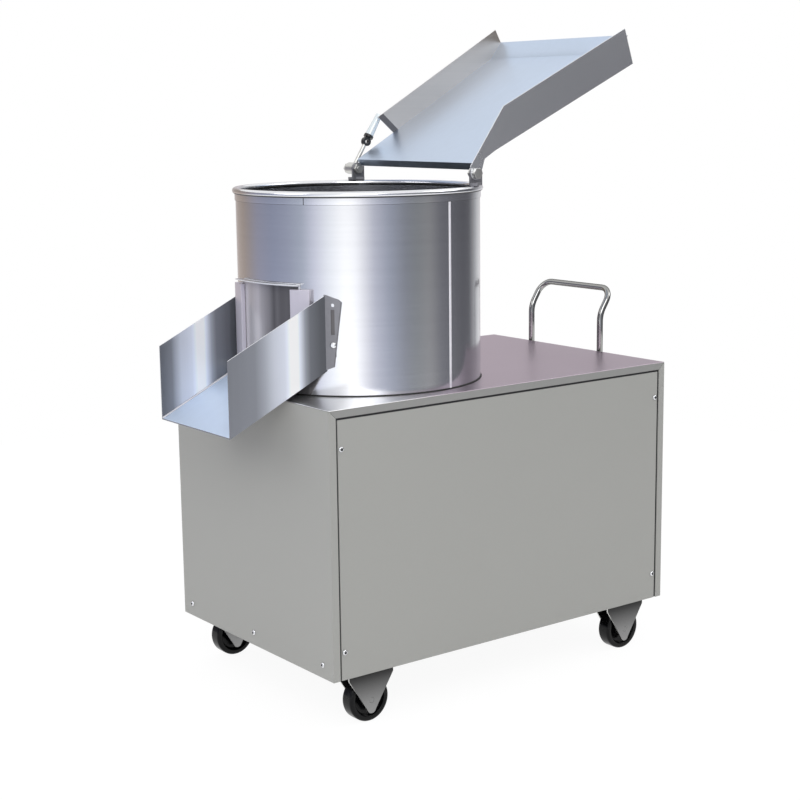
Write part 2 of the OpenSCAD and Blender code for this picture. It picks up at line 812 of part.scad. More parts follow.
// Lip seal over the upper bearing
module shaft_seal() {
  color(dark) translate([tub_x, 0, plate_under - seal_t])
    ring(shaft_d / 2 + run_fit, bearing_d / 2, seal_t);
}

// Plate that hangs under the frame's upper rails and carries the drive
module drive_plate() {
  color(iron) difference() {
    block([plate_x0, -plate_y, plate_under], [plate_x1, plate_y, plate_top]);
    translate([tub_x, 0, plate_under]) cylinder(d = collar_d, h = drill_l, center = true);
    drain_hole();
    translate([0, 0, plate_under]) {
      at_housing_bolts() cylinder(d = drive_bolt_d + 2 * seat_fit, h = drill_l, center = true);
      at_plate_bolts() cylinder(d = drive_bolt_d + 2 * seat_fit, h = drill_l, center = true);
      at_bracket_bolts() cylinder(d = drive_bolt_d + 2 * seat_fit, h = drill_l, center = true);
    }
  }
}

// A drive bolt from below: head, shank and, where there is room, a nut on top
module drive_bolt(grip, rise) {
  translate([0, 0, -5]) hex(drive_bolt_d * 1.6, 5);
  translate([0, 0, -over]) cylinder(d = drive_bolt_d, h = grip + rise + over);
}

// Bolts of the housing, the drive plate and the motor bracket
module drive_bolts() {
  color(steel) {
    at_housing_bolts() translate([0, 0, plate_under - housing_flange_t])
      drive_bolt(housing_flange_t + drive_plate_t, 0);
    at_plate_bolts() translate([0, 0, plate_under]) drive_bolt(drive_plate_t + frame_t, 0);
    at_bracket_bolts() translate([0, 0, plate_under - bracket_t]) drive_bolt(bracket_t + drive_plate_t, 0);
  }
}

// Profile of a grooved pulley about its own axis, for a pitch radius
module pulley_profile(pitch_r, bore) {
  outer = pitch_r + groove_deep;
  root = pitch_r - belt_h;
  mouth = belt_w / 2 + 0.6;
  neck = mouth * 0.6;
  polygon([[bore, -pulley_w / 2], [outer, -pulley_w / 2], [outer, -mouth - 0.6], [root, -neck], [root, neck],
    [outer, mouth + 0.6], [outer, pulley_w / 2], [bore, pulley_w / 2]]);
}

// Driven pulley, webbed, on the lower end of the shaft
module driven_pulley() {
  pitch_r = driven_pitch_d / 2;
  rim_in = pitch_r - belt_h - 8;
  color(iron) translate([tub_x, 0, pulley_z]) difference() {
    rotate_extrude($fn = 96) pulley_profile(pitch_r, shaft_d / 2 + seat_fit);
    for (face = [0, 1]) mirror([0, 0, face]) translate([0, 0, 4]) ring(shaft_d / 2 + 12, rim_in, pulley_w);
  }
}

// Small pulley on the motor shaft
module motor_pulley() {
  color(iron) translate([motor_x, 0, pulley_z]) rotate_extrude($fn = 96)
    pulley_profile(motor_pitch_d / 2, motor_shaft_d / 2 + seat_fit);
}

// Section of the belt at a pitch radius
module belt_section(pitch_r) {
  top = pitch_r + belt_above;
  low = top - belt_h;
  polygon([[top, -belt_w / 2], [top, belt_w / 2], [low, belt_w * 0.3], [low, -belt_w * 0.3]]);
}

// Belt round both pulleys: two arcs and two straight runs
module v_belt() {
  big = driven_pitch_d / 2;
  small = motor_pitch_d / 2;
  lean = acos((big - small) / motor_gap);
  run = motor_gap * sin(lean);
  color(dark) translate([0, 0, pulley_z]) {
    translate([tub_x, 0, 0]) rotate([0, 0, lean]) rotate_extrude(angle = 360 - 2 * lean, $fn = 96)
      belt_section(big);
    translate([motor_x, 0, 0]) rotate([0, 0, -lean]) rotate_extrude(angle = 2 * lean, $fn = 96)
      belt_section(small);
    for (side = [0, 1]) mirror([0, side, 0]) translate([tub_x, 0, 0]) rotate([0, 0, lean])
      rotate([90, 0, 0]) linear_extrude(run) belt_section(big);
  }
}

// Ribbed motor body with its feet against the bracket
module motor_body() {
  foot_w = bracket_w - 4;
  neck = motor_r * 0.6;
  color(motor_blue) translate([motor_x, 0, body_under]) difference() {
    union() {
      cylinder(r = motor_r - rib_h, h = motor_l);
      for (i = [0 : rib_count - 1]) rotate((i + 0.5) * 360 / rib_count)
        translate([motor_r - rib_h - over, -1.2, 6]) cube([rib_h + over, 2.4, motor_l - 12]);
      for (dz = [-foot_bolt_z, foot_bolt_z]) translate([0, 0, motor_l / 2 + dz]) {
        block([-neck, motor_r * 0.5, -14], [neck, motor_foot - foot_thick + over, 14]);
        block([-foot_w / 2, motor_foot - foot_thick, -15], [foot_w / 2, motor_foot, 15]);
      }
    }
    translate([0, 0, -over]) cylinder(d = rotor_d + 1, h = motor_l + 2 * over);
    translate([-motor_x, 0, -body_under]) at_foot_bolts()
      cylinder(d = drive_bolt_d + 2 * seat_fit, h = drill_short_l, center = true);
  }
}

// End shield of the motor with a bearing boss; its outer face looks up or down
module motor_shield(z, up) {
  color(motor_blue) translate([motor_x, 0, z]) difference() {
    union() {
      cylinder(r = motor_r - rib_h / 2, h = shield_t);
      if (up) translate([0, 0, shield_t - over]) cylinder(r = motor_shaft_d, h = 4 + over);
    }
    translate([0, 0, -over]) cylinder(d = motor_shaft_d + 2 * run_fit, h = shield_t + 20);
  }
}

// Vented cover over the motor's fan
module motor_fan_cover() {
  r = motor_r - rib_h / 2;
  color(motor_blue) translate([motor_x, 0, shield_under - fan_cover_l]) difference() {
    cylinder(r = r, h = fan_cover_l);
    translate([0, 0, 2]) cylinder(r = r - 2, h = fan_cover_l);
    for (i = [-4 : 4]) translate([i * 10 - 2, -r * 0.6, -over]) cube([4, r * 1.2, 4]);
  }
}

// Rotor core on the motor shaft
module motor_rotor() {
  low = shield_under - fan_cover_l / 2 - 6;
  color(steel) translate([motor_x, 0, 0]) {
    translate([0, 0, low]) cylinder(d = motor_shaft_d, h = pulley_z + pulley_w / 2 + 2 - low);
    translate([0, 0, body_under + 12]) cylinder(d = rotor_d, h = motor_l - 24);
  }
}

// Fan on the motor shaft
module motor_fan() {
  r = motor_r - rib_h / 2 - fan_space;
  root = motor_shaft_d / 2 + fan_hub_t - fan_blade_t;
  color(dark) translate([motor_x, 0, shield_under - fan_cover_l / 2 - fan_hub_h / 3]) difference() {
    union() {
      cylinder(r = motor_shaft_d / 2 + fan_hub_t, h = fan_hub_h);
      translate([0, 0, fan_hub_h - fan_back_t]) cylinder(r = r, h = fan_back_t);
      for (i = [0 : 7]) rotate(i * 45) translate([root, -fan_blade_t / 2, 0])
        cube([r - root - fan_blade_t / 2, fan_blade_t, fan_hub_h - fan_blade_t]);
    }
    translate([0, 0, -over]) cylinder(d = motor_shaft_d + 2 * seat_fit, h = drill_short_l);
  }
}

// Bent bracket under the drive plate that holds the motor's feet
module motor_bracket() {
  x0 = motor_x - bracket_w / 2;
  x1 = motor_x + bracket_w / 2;
  color(iron) difference() {
    union() {
      block([x0, motor_foot, bracket_under], [x1, motor_foot + bracket_t, plate_under]);
      block([x0, motor_foot, plate_under - bracket_t],
        [x1, motor_foot + bracket_t + bracket_flange, plate_under]);
    }
    at_foot_bolts() cylinder(d = drive_bolt_d + 2 * seat_fit, h = drill_long_l, center = true);
    at_bracket_bolts() translate([0, 0, plate_under])
      cylinder(d = drive_bolt_d + 2 * seat_fit, h = drill_l, center = true);
  }
}

// Bolts through the motor's feet and the bracket
module motor_bolts() {
  color(steel) at_foot_bolts() {
    translate([0, 0, -foot_thick]) cylinder(d = drive_bolt_d, h = foot_thick + bracket_t + 9);
    translate([0, 0, -foot_thick - 5]) hex(drive_bolt_d * 1.6, 5);
    translate([0, 0, bracket_t]) hex(drive_bolt_d * 1.6, 6);
  }
}

// Terminal box on the motor's side
module terminal_box() {
  color(motor_blue) translate([motor_x, 0, body_under + motor_l / 2]) {
    difference() {
      translate([-terminal_w / 2, -motor_r - terminal_t + 8, -terminal_h / 2])
        cube([terminal_w, terminal_t, terminal_h]);
      cylinder(r = motor_r + seat_fit, h = 2 * terminal_h, center = true);
    }
  }
}

// Outline of the chute wall in front of the tub's axis
module chute_wall_outline() {
  inner = tub_r * 0.5;
  polygon([[-chute_reach, chute_z(chute_reach)], [-chute_reach, chute_z(chute_reach) + chute_wall],
    [-inner, chute_z(inner) + chute_wall], [-inner, chute_z(inner)]]);
}

// Outline of the chute floor's section
module chute_floor_outline() {
  inner = tub_r * 0.5;
  drop = chute_t / cos(chute_slope);
  polygon([[-chute_reach, chute_z(chute_reach)], [-inner, chute_z(inner)], [-inner, chute_z(inner) - drop],
    [-chute_reach, chute_z(chute_reach) - drop]]);
}

// Angle round the tub of a point on its wall at a sideways distance, on the discharge side
function wall_turn(y) = 180 - asin(y / tub_r);

// Children on both chute flanges at a height above the floor's edge, pointing outwards
bolt_low = 34;
bolt_high = 88;
slot_l = 34;
slot_w = 5;
module at_chute_flange(rise) {
  for (wall = [[near_wall_y - chute_t, -1], [far_wall_y + chute_t, 1]]) {
    y = wall[0] + wall[1] * chute_flange * 0.42;
    z = chute_z(sqrt(pow(tub_r, 2) - pow(wall[0], 2))) + rise;
    translate([tub_x, 0, z]) rotate([0, 0, wall_turn(y)]) translate([tub_r, 0, 0])
      rotate([0, 90, 0]) children();
  }
}
module at_chute_bolts() {
  at_chute_flange(bolt_low) children();
}
module at_chute_holes() {
  at_chute_flange(bolt_high) children();
}
module at_chute_slots() {
  at_chute_flange((bolt_low + bolt_high) / 2 + 4) children();
}

// Curved flange at a chute wall, drawn for the wall's outer face y and its outward side
module chute_flange_strip(y, side) {
  reach = sqrt(pow(tub_r, 2) - pow(y, 2));
  low = chute_z(reach);
  high = low + chute_wall;
  wide = chute_flange;
  intersection() {
    translate([tub_x, 0, low]) ring(chute_seat, chute_seat + chute_t, chute_wall + over, $fn = 160);
    translate([tub_x, 0, 0]) rotate([90, 0, -90]) linear_extrude(tub_r + 2 * wide)
      polygon([for (p = [[-chute_t, low], [-chute_t, high], [0, high], [wide * 0.8, high - 6],
        [wide, high - 10], [wide * 0.5, low + 4], [0, low]]) [-(y + side * p[0]), p[1]]]);
  }
}

// Sloping discharge chute with its flanges on the tub
module discharge_chute() {
  color(steel) difference() {
    union() {
      difference() {
        translate([tub_x, 0, 0]) {
          upright(near_wall_y - chute_t, near_wall_y) chute_wall_outline();
          upright(far_wall_y, far_wall_y + chute_t) chute_wall_outline();
          upright(near_wall_y - chute_t, far_wall_y + chute_t) chute_floor_outline();
        }
        translate([tub_x, 0, 0]) cylinder(r = chute_seat, h = through, $fn = 160);
      }
      chute_flange_strip(near_wall_y - chute_t, -1);
      chute_flange_strip(far_wall_y + chute_t, 1);
    }
    at_chute_bolts() cylinder(d = chute_bolt_d + 2 * seat_fit, h = drill_short_l, center = true);
    at_chute_holes() cylinder(d = chute_bolt_d, h = drill_short_l, center = true);
    at_chute_slots() cube([slot_l, slot_w, 12], center = true);
  }
}

// Button-head bolts of the chute's flanges
module chute_bolts() {
  head = chute_bolt_d * 0.9;
  color(steel) at_chute_bolts() {
    translate([0, 0, chute_t + 2 * seat_fit]) cylinder(r = head, h = 1.4);
    translate([0, 0, chute_t + 2 * seat_fit + 1.4]) cylinder(r1 = head, r2 = head * 0.6, h = 1.4);
    translate([0, 0, -tub_t]) cylinder(d = chute_bolt_d, h = tub_t + chute_t + over);
  }
}

// Slotted guide at one edge of the doorway; side is 1 for near, -1 for far
module gate_guide(side) {
  start = door_half + guide_slack;
  a0 = door_turn + (side > 0 ? start : -start - guide_half);
  slot = gate_grip + 0.5;
  s0 = door_turn + (side > 0 ? start - over : -start - slot);
  color(steel) difference() {
    tub_sector(tub_r, tub_r + guide_t, gate_z - guide_foot - play, gate_top - 7, a0, a0 + guide_half);
    tub_sector(tub_r - over, gate_out + play, gate_z - play, gate_top, s0, s0 + slot + over);
  }
}

// Curved lift gate with a pull lip
module discharge_gate() {
  half = door_half + guide_slack + gate_grip;
  color(steel) {
    tub_sector(gate_in, gate_out, gate_z, gate_top, door_turn - half, door_turn + half);
    tub_sector(gate_in, gate_out + gate_lip, gate_top - gate_t, gate_top, door_turn - half, door_turn + half);
  }
}

// Moves the tray's own frame, x along the floor from the hinge axis, to its tilted place
module tilted() {
  translate([hinge_world_x, 0, hinge_z]) rotate([0, -feed_tilt, 0]) children();
}

// Feed tray: floor with a front lip and an upturned end, a near wall with a hinge lug and a lower far wall
module feed_tray() {
  x1 = feed_front + feed_l;
  bend = x1 - feed_end;
  z1 = feed_floor + feed_wall;
  half = feed_w / 2;
  skirt_x = feed_front + skirt_from;
  color(steel) tilted() difference() {
    union() {
      upright(-half, half)
        polygon([[feed_front, feed_floor], [bend, feed_floor], [x1, feed_floor + feed_end_rise],
          [x1, feed_floor + feed_end_rise + feed_t], [bend, feed_floor + feed_t],
          [feed_front, feed_floor + feed_t]]);
      block([feed_front, -half, feed_floor - feed_lip], [feed_front + feed_t, half, feed_floor + feed_t]);
      upright(-half, feed_t - half) {
        polygon([[-lug_r * 0.7, lug_r * 0.7], [-lug_r * 0.45, lug_r * 1.5],
          [feed_front + feed_cut, feed_floor + near_front_h], [x1, feed_floor + near_rear_h],
          [x1 - near_rake, feed_floor - near_skirt], [skirt_x, feed_floor], [feed_front + 14, feed_floor],
          [lug_r * 0.8, -lug_r * 0.6]]);
        circle(r = lug_r);
      }
      upright(half - feed_t, half)
        polygon([[feed_front + far_cut + 14, feed_floor], [feed_front + far_cut, z1], [x1, z1],
          [x1, feed_floor + feed_end_rise], [bend, feed_floor]]);
    }
    rotate([90, 0, 0]) cylinder(d = hinge_d + 2 * run_fit, h = feed_w + 4, center = true);
  }
}

// Stay at the tray's far side: a tapered tube with a collar, an eye, and a rod end on the hinge bolt
module feed_stay() {
  long = norm([stay_top_x, stay_top_z]);
  lean = atan2(stay_top_z, stay_top_x);
  half = feed_w / 2;
  eye_at = long * 0.53;
  tube_at = long * 0.64;
  color(steel) tilted() difference() {
    union() {
      translate([0, stay_y, 0]) rotate([90, 0, 0]) cylinder(r = lug_r, h = eye_w, center = true);
      translate([0, stay_y, 0]) rotate([0, 90 - lean, 0]) {
        cylinder(d = stay_d * 0.5, h = tube_at + 2);
        translate([0, 0, eye_at]) rotate([90, 0, 0]) cylinder(d = stay_d * 1.15, h = stay_d * 0.6, center = true);
        translate([0, 0, tube_at - 3]) cylinder(d = stay_d * 1.25, h = 3 + over);
        translate([0, 0, tube_at]) cylinder(d1 = stay_d * 1.1, d2 = stay_d * 0.8, h = long - tube_at + 5);
      }
      translate([stay_top_x, half, stay_top_z]) rotate([-90, 0, 0])
        cylinder(d = stay_d * 0.6, h = stay_y - half);
    }
    translate([0, stay_y, 0]) {
      rotate([90, 0, 0]) cylinder(d = hinge_d + 2 * run_fit, h = 2 * eye_w, center = true);
      rotate([0, 90 - lean, 0]) translate([0, 0, eye_at]) rotate([90, 0, 0])
        cylinder(d = stay_d * 0.58, h = stay_d, center = true);
    }
  }
}

// Bracket on the rim inside the tray's end, with the ledge that the tray's lip rests on
// Side is -1 for near and 1 for far
module hinge_bracket(side) {
  lip_z = feed_floor - feed_lip;
  ledge = [feed_front * cos(feed_tilt) - lip_z * sin(feed_tilt) + ledge_l,
    feed_front * sin(feed_tilt) + lip_z * cos(feed_tilt) - play];
  rise = hinge_z - rim_z;
  turn = acos(hinge_x / tub_r);
  y0 = min(side * bracket_in, side * bracket_out);
  pad = 4;
  color(steel) difference() {
    union() {
      translate([hinge_world_x, 0, hinge_z]) upright(y0, y0 + hinge_t) {
        circle(r = lug_r);
        polygon([[-lug_r, 0], [0, ledge[1]], ledge, [ledge[0], -rise], [-lug_r, -rise]]);
      }
      tub_sector(tub_r - bead_r, tub_r + bead_r + 2, rim_z, rim_z + pad, side * turn - 4, side * turn + 4);
    }
    translate([hinge_world_x, 0, hinge_z]) rotate([90, 0, 0])
      cylinder(d = hinge_d + 2 * seat_fit, h = through, center = true);
  }
}

// Hex bolts of the hinge with their nuts
module hinge_bolts() {
  af = hinge_d * 1.75;
  near_out = feed_w / 2 + play;
  far_out = stay_y + eye_w / 2 + play;
  color(steel) translate([hinge_world_x, 0, hinge_z]) {
    translate([0, -near_out, 0]) rotate([90, 0, 0]) hex(af, 5);
    translate([0, -near_out - over, 0]) rotate([-90, 0, 0])
      cylinder(d = hinge_d, h = near_out + over - bracket_in + 6);
    translate([0, -bracket_in, 0]) rotate([-90, 0, 0]) hex(af, 5);
    translate([0, far_out, 0]) rotate([-90, 0, 0]) hex(af, 5);
    translate([0, far_out + over, 0]) rotate([90, 0, 0])
      cylinder(d = hinge_d, h = far_out + over - bracket_in + 6);
    translate([0, bracket_in, 0]) rotate([90, 0, 0]) hex(af, 5);
  }
}

// Foot plate of the handle, and its bolts pointing outwards
handle_bolt_d = 6;
foot_below = 6;
foot_side = 20;
foot_edge_y = 9;
foot_edge_z = 10;
foot_top = deck_z - foot_below;
foot_w = handle_w + 2 * foot_side;
module at_handle_bolts() {
  for (dy = [foot_edge_y - foot_w / 2, foot_w / 2 - foot_edge_y])
    for (z = [foot_top - foot_edge_z, foot_top - foot_h + foot_edge_z])
      translate([rear_x + foot_t, handle_offset + dy, z]) rotate([0, 90, 0]) children();
}

// A quarter bend of the handle rod in the X-Y plane, from the +X axis
module rod_bend(r) {
  rotate_extrude(angle = 90, $fn = 96) translate([r, 0]) circle(d = rod_d, $fn = 32);
}

// Bent rod handle welded to a foot plate
module push_handle() {
  leg_x = rear_x + foot_t + rod_d / 2 - weld;
  low = foot_top - foot_h + 4;
  half = handle_w / 2;
  // The knee's bend takes up this much of the leg below it and of the upper part
  trim = knee_r * tan(handle_lean / 2);
  knee_z = deck_z + handle_knee;
  knee_ball = rod_d * 1.03;
  color(steel) {
    translate([0, handle_offset, 0]) {
      for (side = [-1, 1]) translate([leg_x, side * half, 0]) {
        translate([0, 0, low]) cylinder(d = rod_d, h = knee_z - trim - low);
        translate([0, 0, knee_z - trim]) {
          sphere(d = knee_ball);
          rotate([0, handle_lean / 2, 0]) cylinder(d = rod_d, h = 2 * trim * cos(handle_lean / 2));
        }
      }
      translate([leg_x, 0, knee_z]) rotate([0, handle_lean, 0]) {
        for (side = [-1, 1]) translate([0, side * half, 0]) {
          translate([0, 0, trim]) sphere(d = knee_ball);
          translate([0, 0, trim]) cylinder(d = rod_d, h = handle_top - trim - corner_r);
          translate([0, -side * corner_r, handle_top - corner_r]) rotate([90, 0, 90])
            mirror([side < 0 ? 1 : 0, 0, 0]) rod_bend(corner_r);
        }
        translate([0, 0, handle_top]) rotate([90, 0, 0])
          cylinder(d = rod_d, h = handle_w - 2 * corner_r, center = true);
      }
    }
    difference() {
      block([rear_x, handle_offset - foot_w / 2, foot_top - foot_h],
        [rear_x + foot_t, handle_offset + foot_w / 2, foot_top]);
      at_handle_bolts() cylinder(d = handle_bolt_d + 2 * seat_fit, h = drill_short_l, center = true);
    }
  }
}

// Bolts of the handle's foot plate
module handle_bolts() {
  grip = foot_t + sheet_t + frame_t;
  color(steel) at_handle_bolts() {
    hex(handle_bolt_d * 1.6, bolt_head_h);
    translate([0, 0, -grip - bolt_nut_h - bolt_past])
      cylinder(d = handle_bolt_d, h = grip + bolt_nut_h + bolt_past + over);
    translate([0, 0, -grip - bolt_nut_h]) hex(handle_bolt_d * 1.6, bolt_nut_h);
  }
}

// The drain's way down through the tub floor, the deck and the drive plate
module drain_hole() {
  translate([tub_x + drain_x, -drain_y, deck_z])
    cylinder(d = drain_d + 2 * seat_fit, h = drill_long_l, center = true);
}

drain_bead = 4;

// Drain pipe: a lip on the tub floor, a drop, a bend, a run out of the rear end and a hose bead
module drain_pipe() {
  r = drain_d / 2;
  bend = drain_d * 0.9;
  x = tub_x + drain_x;
  z = caster_h + drain_z;
  top = deck_z + floor_t;
  color(steel) translate([0, -drain_y, 0]) {
    translate([x, 0, z + bend]) ring(r - drain_t, r, top - z - bend);
    translate([x, 0, top]) ring(r - drain_t, r + 5, 1.5);
    translate([x + bend, 0, z + bend]) rotate([90, 0, 0]) rotate([0, 0, 180])
      rotate_extrude(angle = 90, $fn = 96) translate([bend, 0]) difference() {
        circle(r = r);
        circle(r = r - drain_t);
      }
    translate([x + bend, 0, z]) rotate([0, 90, 0]) ring(r - drain_t, r, rear_x + drain_stub - x - bend);
    translate([rear_x, 0, z]) rotate([0, 90, 0]) ring(r - drain_t / 2, r + 3, drain_bead);
  }
}

// Children at the water inlet on the tub wall, pointing outwards
module inlet_place() {
  translate([tub_x, 0, rim_z - inlet_drop]) rotate([0, 0, inlet_turn]) translate([tub_r, 0, 0])
    rotate([0, 90, 0]) children();
}

// Water inlet: a flange, a hose tail outside and a short nozzle inside
module water_inlet() {
  flange = 3;
  inside = 22;
  long = tub_t + inside + flange + inlet_l;
  color(steel) difference() {
    union() {
      inlet_place() translate([0, 0, -tub_t - inside]) cylinder(d = inlet_d, h = long);
      difference() {
        inlet_place() translate([0, 0, -flange]) cylinder(d = inlet_d + 14, h = 2 * flange);
        translate([tub_x, 0, deck_z]) cylinder(r = chute_seat, h = tub_h, $fn = 160);
      }
    }
    inlet_place() translate([0, 0, -tub_t - inside - over]) cylinder(d = inlet_bore, h = long + 2 * over);
  }
}

switch_z = deck_z - switch_drop;
switch_mid = cab_w / 2 - switch_y;
box_w = switch_w - 6;
box_h = switch_h - 6;

// Cut-out of the switch box in the rear panel
module switch_cut() {
  translate([rear_x, switch_mid, switch_z])
    cube([60, box_w + 2 * play, box_h + 2 * play], center = true);
}

// Children at a push button's place on the switch plate, pointing outwards
module button_place(rise) {
  translate([rear_x + switch_t, switch_mid, switch_z + rise]) rotate([0, 90, 0]) children();
}
button_room = 14;

// Switch plate with a box behind the panel, bored for two buttons
module switch_box() {
  color(dark) difference() {
    union() {
      block([rear_x, switch_mid - switch_w / 2, switch_z - switch_h / 2],
        [rear_x + switch_t, switch_mid + switch_w / 2, switch_z + switch_h / 2]);
      block([rear_x - switch_depth, switch_mid - box_w / 2, switch_z - box_h / 2],
        [rear_x + over, switch_mid + box_w / 2, switch_z + box_h / 2]);
    }
    for (rise = [-button_gap / 2, button_gap / 2]) button_place(rise)
      translate([0, 0, -button_room]) cylinder(d = button_d + 2 * run_fit, h = button_room + over);
  }
}

// A push button, its face outwards
module button(rise) {
  stand = 5;
  button_place(rise) translate([0, 0, -button_room + button_travel + play])
    cylinder(d = button_d, h = button_room - button_travel - play + stand);
}

// Start button
module start_button() {
  color("green") button(button_gap / 2);
}

// Stop button
module stop_button() {
  color("red") button(-button_gap / 2);
}

// Children at the cable gland, pointing outwards
module gland_place() {
  translate([rear_x, switch_mid, caster_h + gland_z]) rotate([0, 90, 0]) children();
}

// Cable gland: a body through the rear panel, a dome outside and a nut inside
module cable_gland() {
  color(dark) gland_place() difference() {
    union() {
      translate([0, 0, -sheet_t - 10]) cylinder(d = gland_d, h = sheet_t + 10 + over);
      hex(gland_d * 1.3, 7);
      translate([0, 0, 7 - over]) cylinder(d1 = gland_d * 1.2, d2 = gland_d * 0.9, h = 14);
      translate([0, 0, -sheet_t - 6]) hex(gland_d * 1.3, 6);
    }
    translate([0, 0, -sheet_t - 10 - over]) cylinder(d = gland_bore, h = drill_l);
  }
}

base_frame();
top_deck();
side_panel(-1);  // near_side_panel
side_panel(1);  // far_side_panel
end_panel(-1);  // front_end_panel
end_panel(1);  // rear_end_panel
panel_screws();
caster_fork(-1, -1);  // caster_fork_front_near
caster_fork(-1, 1);  // caster_fork_front_far
caster_fork(1, -1);  // caster_fork_rear_near
caster_fork(1, 1);  // caster_fork_rear_far
wheel(-1, -1);  // wheel_front_near
wheel(-1, 1);  // wheel_front_far
wheel(1, -1);  // wheel_rear_near
wheel(1, 1);  // wheel_rear_far
axle_pins();
caster_bolts();
tub_shell();
rolled_rim();
tub_floor();
abrasive_liner();
peeling_disc();
disc_nut();
drive_shaft();
bearing_housing();
bearing(plate_under - seal_t - bearing_w);  // upper_bearing
bearing(housing_under);  // lower_bearing
shaft_seal();
drive_plate();
drive_bolts();
driven_pulley();
v_belt();
motor_body();
motor_shield(body_top, true);  // motor_drive_shield
motor_shield(shield_under, false);  // motor_fan_shield
motor_fan_cover();
motor_rotor();
motor_fan();
motor_pulley();
motor_bracket();
motor_bolts();
terminal_box();
discharge_chute();
chute_bolts();
gate_guide(1);  // gate_guide_near
gate_guide(-1);  // gate_guide_far
discharge_gate();
feed_tray();
feed_stay();
hinge_bracket(-1);  // hinge_bracket_near
hinge_bracket(1);  // hinge_bracket_far
hinge_bolts();
push_handle();
handle_bolts();
drain_pipe();
water_inlet();
switch_box();
start_button();
stop_button();
cable_gland();
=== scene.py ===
"""Looks of the vegetable washer: meshes, finishes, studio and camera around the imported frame."""

import json
import logging
import math
from dataclasses import dataclass, field, replace
from enum import Enum
from typing import Any, Callable, Iterable, Sequence

import bmesh
import bpy
from mathutils import Matrix, Vector


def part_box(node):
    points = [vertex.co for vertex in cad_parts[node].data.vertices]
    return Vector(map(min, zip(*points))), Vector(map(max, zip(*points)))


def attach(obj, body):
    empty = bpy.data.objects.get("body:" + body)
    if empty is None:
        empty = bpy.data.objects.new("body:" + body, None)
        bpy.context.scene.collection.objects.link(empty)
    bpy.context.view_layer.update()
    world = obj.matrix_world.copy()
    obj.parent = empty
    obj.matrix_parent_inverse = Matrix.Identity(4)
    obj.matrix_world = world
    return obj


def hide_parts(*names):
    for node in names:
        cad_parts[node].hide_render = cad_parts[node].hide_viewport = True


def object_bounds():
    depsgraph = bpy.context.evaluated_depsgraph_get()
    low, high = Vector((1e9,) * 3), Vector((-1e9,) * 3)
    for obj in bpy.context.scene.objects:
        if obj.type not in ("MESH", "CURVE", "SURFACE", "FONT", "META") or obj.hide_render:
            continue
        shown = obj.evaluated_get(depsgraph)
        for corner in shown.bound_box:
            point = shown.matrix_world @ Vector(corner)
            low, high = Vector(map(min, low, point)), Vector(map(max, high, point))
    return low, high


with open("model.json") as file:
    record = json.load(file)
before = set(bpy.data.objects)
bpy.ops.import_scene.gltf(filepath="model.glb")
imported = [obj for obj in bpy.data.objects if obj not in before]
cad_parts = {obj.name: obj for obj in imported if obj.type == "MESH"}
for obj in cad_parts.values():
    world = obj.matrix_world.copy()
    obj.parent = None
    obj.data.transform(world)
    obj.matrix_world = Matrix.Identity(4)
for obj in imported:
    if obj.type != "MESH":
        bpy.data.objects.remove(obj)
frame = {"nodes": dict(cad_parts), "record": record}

CAD_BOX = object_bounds()
LOG = logging.getLogger("washer")
Triple = tuple[float, float, float]
Colour = Triple
Point = tuple[float, float]
Shape = bmesh.types.BMesh
Face = bmesh.types.BMFace
Material = bpy.types.Material
Pick = Callable[[Face], int]
TAU = 2 * math.pi
UP = Vector((0, 0, 1))
# Middle of the tub's doorway, in degrees round from +X
DOOR_TURN = 186.56
# Points of a frame node that lie closer than this are one, in metres
MERGE = 2e-6
# Faces of a frame node that bend less than this are one flat face
FLAT = math.radians(0.6)
# Edges that bend more than this are rounded
SHARP = math.radians(28.0)
BODY_OF: dict[str, str] = {node: body for body, nodes in frame["record"]["behaviour"]["bodies"].items()
                           for node in nodes}


def srgb(red: int, green: int, blue: int) -> Colour:
    """Turns a colour as it looks on a screen into the linear one that shaders use.

    Args:
        red: Red from 0 to 255.
        green: Green from 0 to 255.
        blue: Blue from 0 to 255.

    Returns:
        The linear colour.
    """
    def channel(value: int) -> float:
        """One channel in linear light."""
        part = value / 255
        return part / 12.92 if part <= 0.04045 else ((part + 0.055) / 1.055) ** 2.4

    return channel(red), channel(green), channel(blue)


def shade(colour: Colour, factor: float) -> Colour:
    """A colour made lighter or darker.

    Args:
        colour: The colour.
        factor: What it is multiplied by.

    Returns:
        The new colour.
    """
    return tuple(c * factor for c in colour)


def heading(degrees: float) -> Vector:
    """The level direction at an angle from +X."""
    return Vector((math.cos(math.radians(degrees)), math.sin(math.radians(degrees)), 0))


def circle(count: int) -> list[Point]:
    """Points evenly round a circle of radius 1."""
    return [(math.cos(k * TAU / count), math.sin(k * TAU / count)) for k in range(count)]


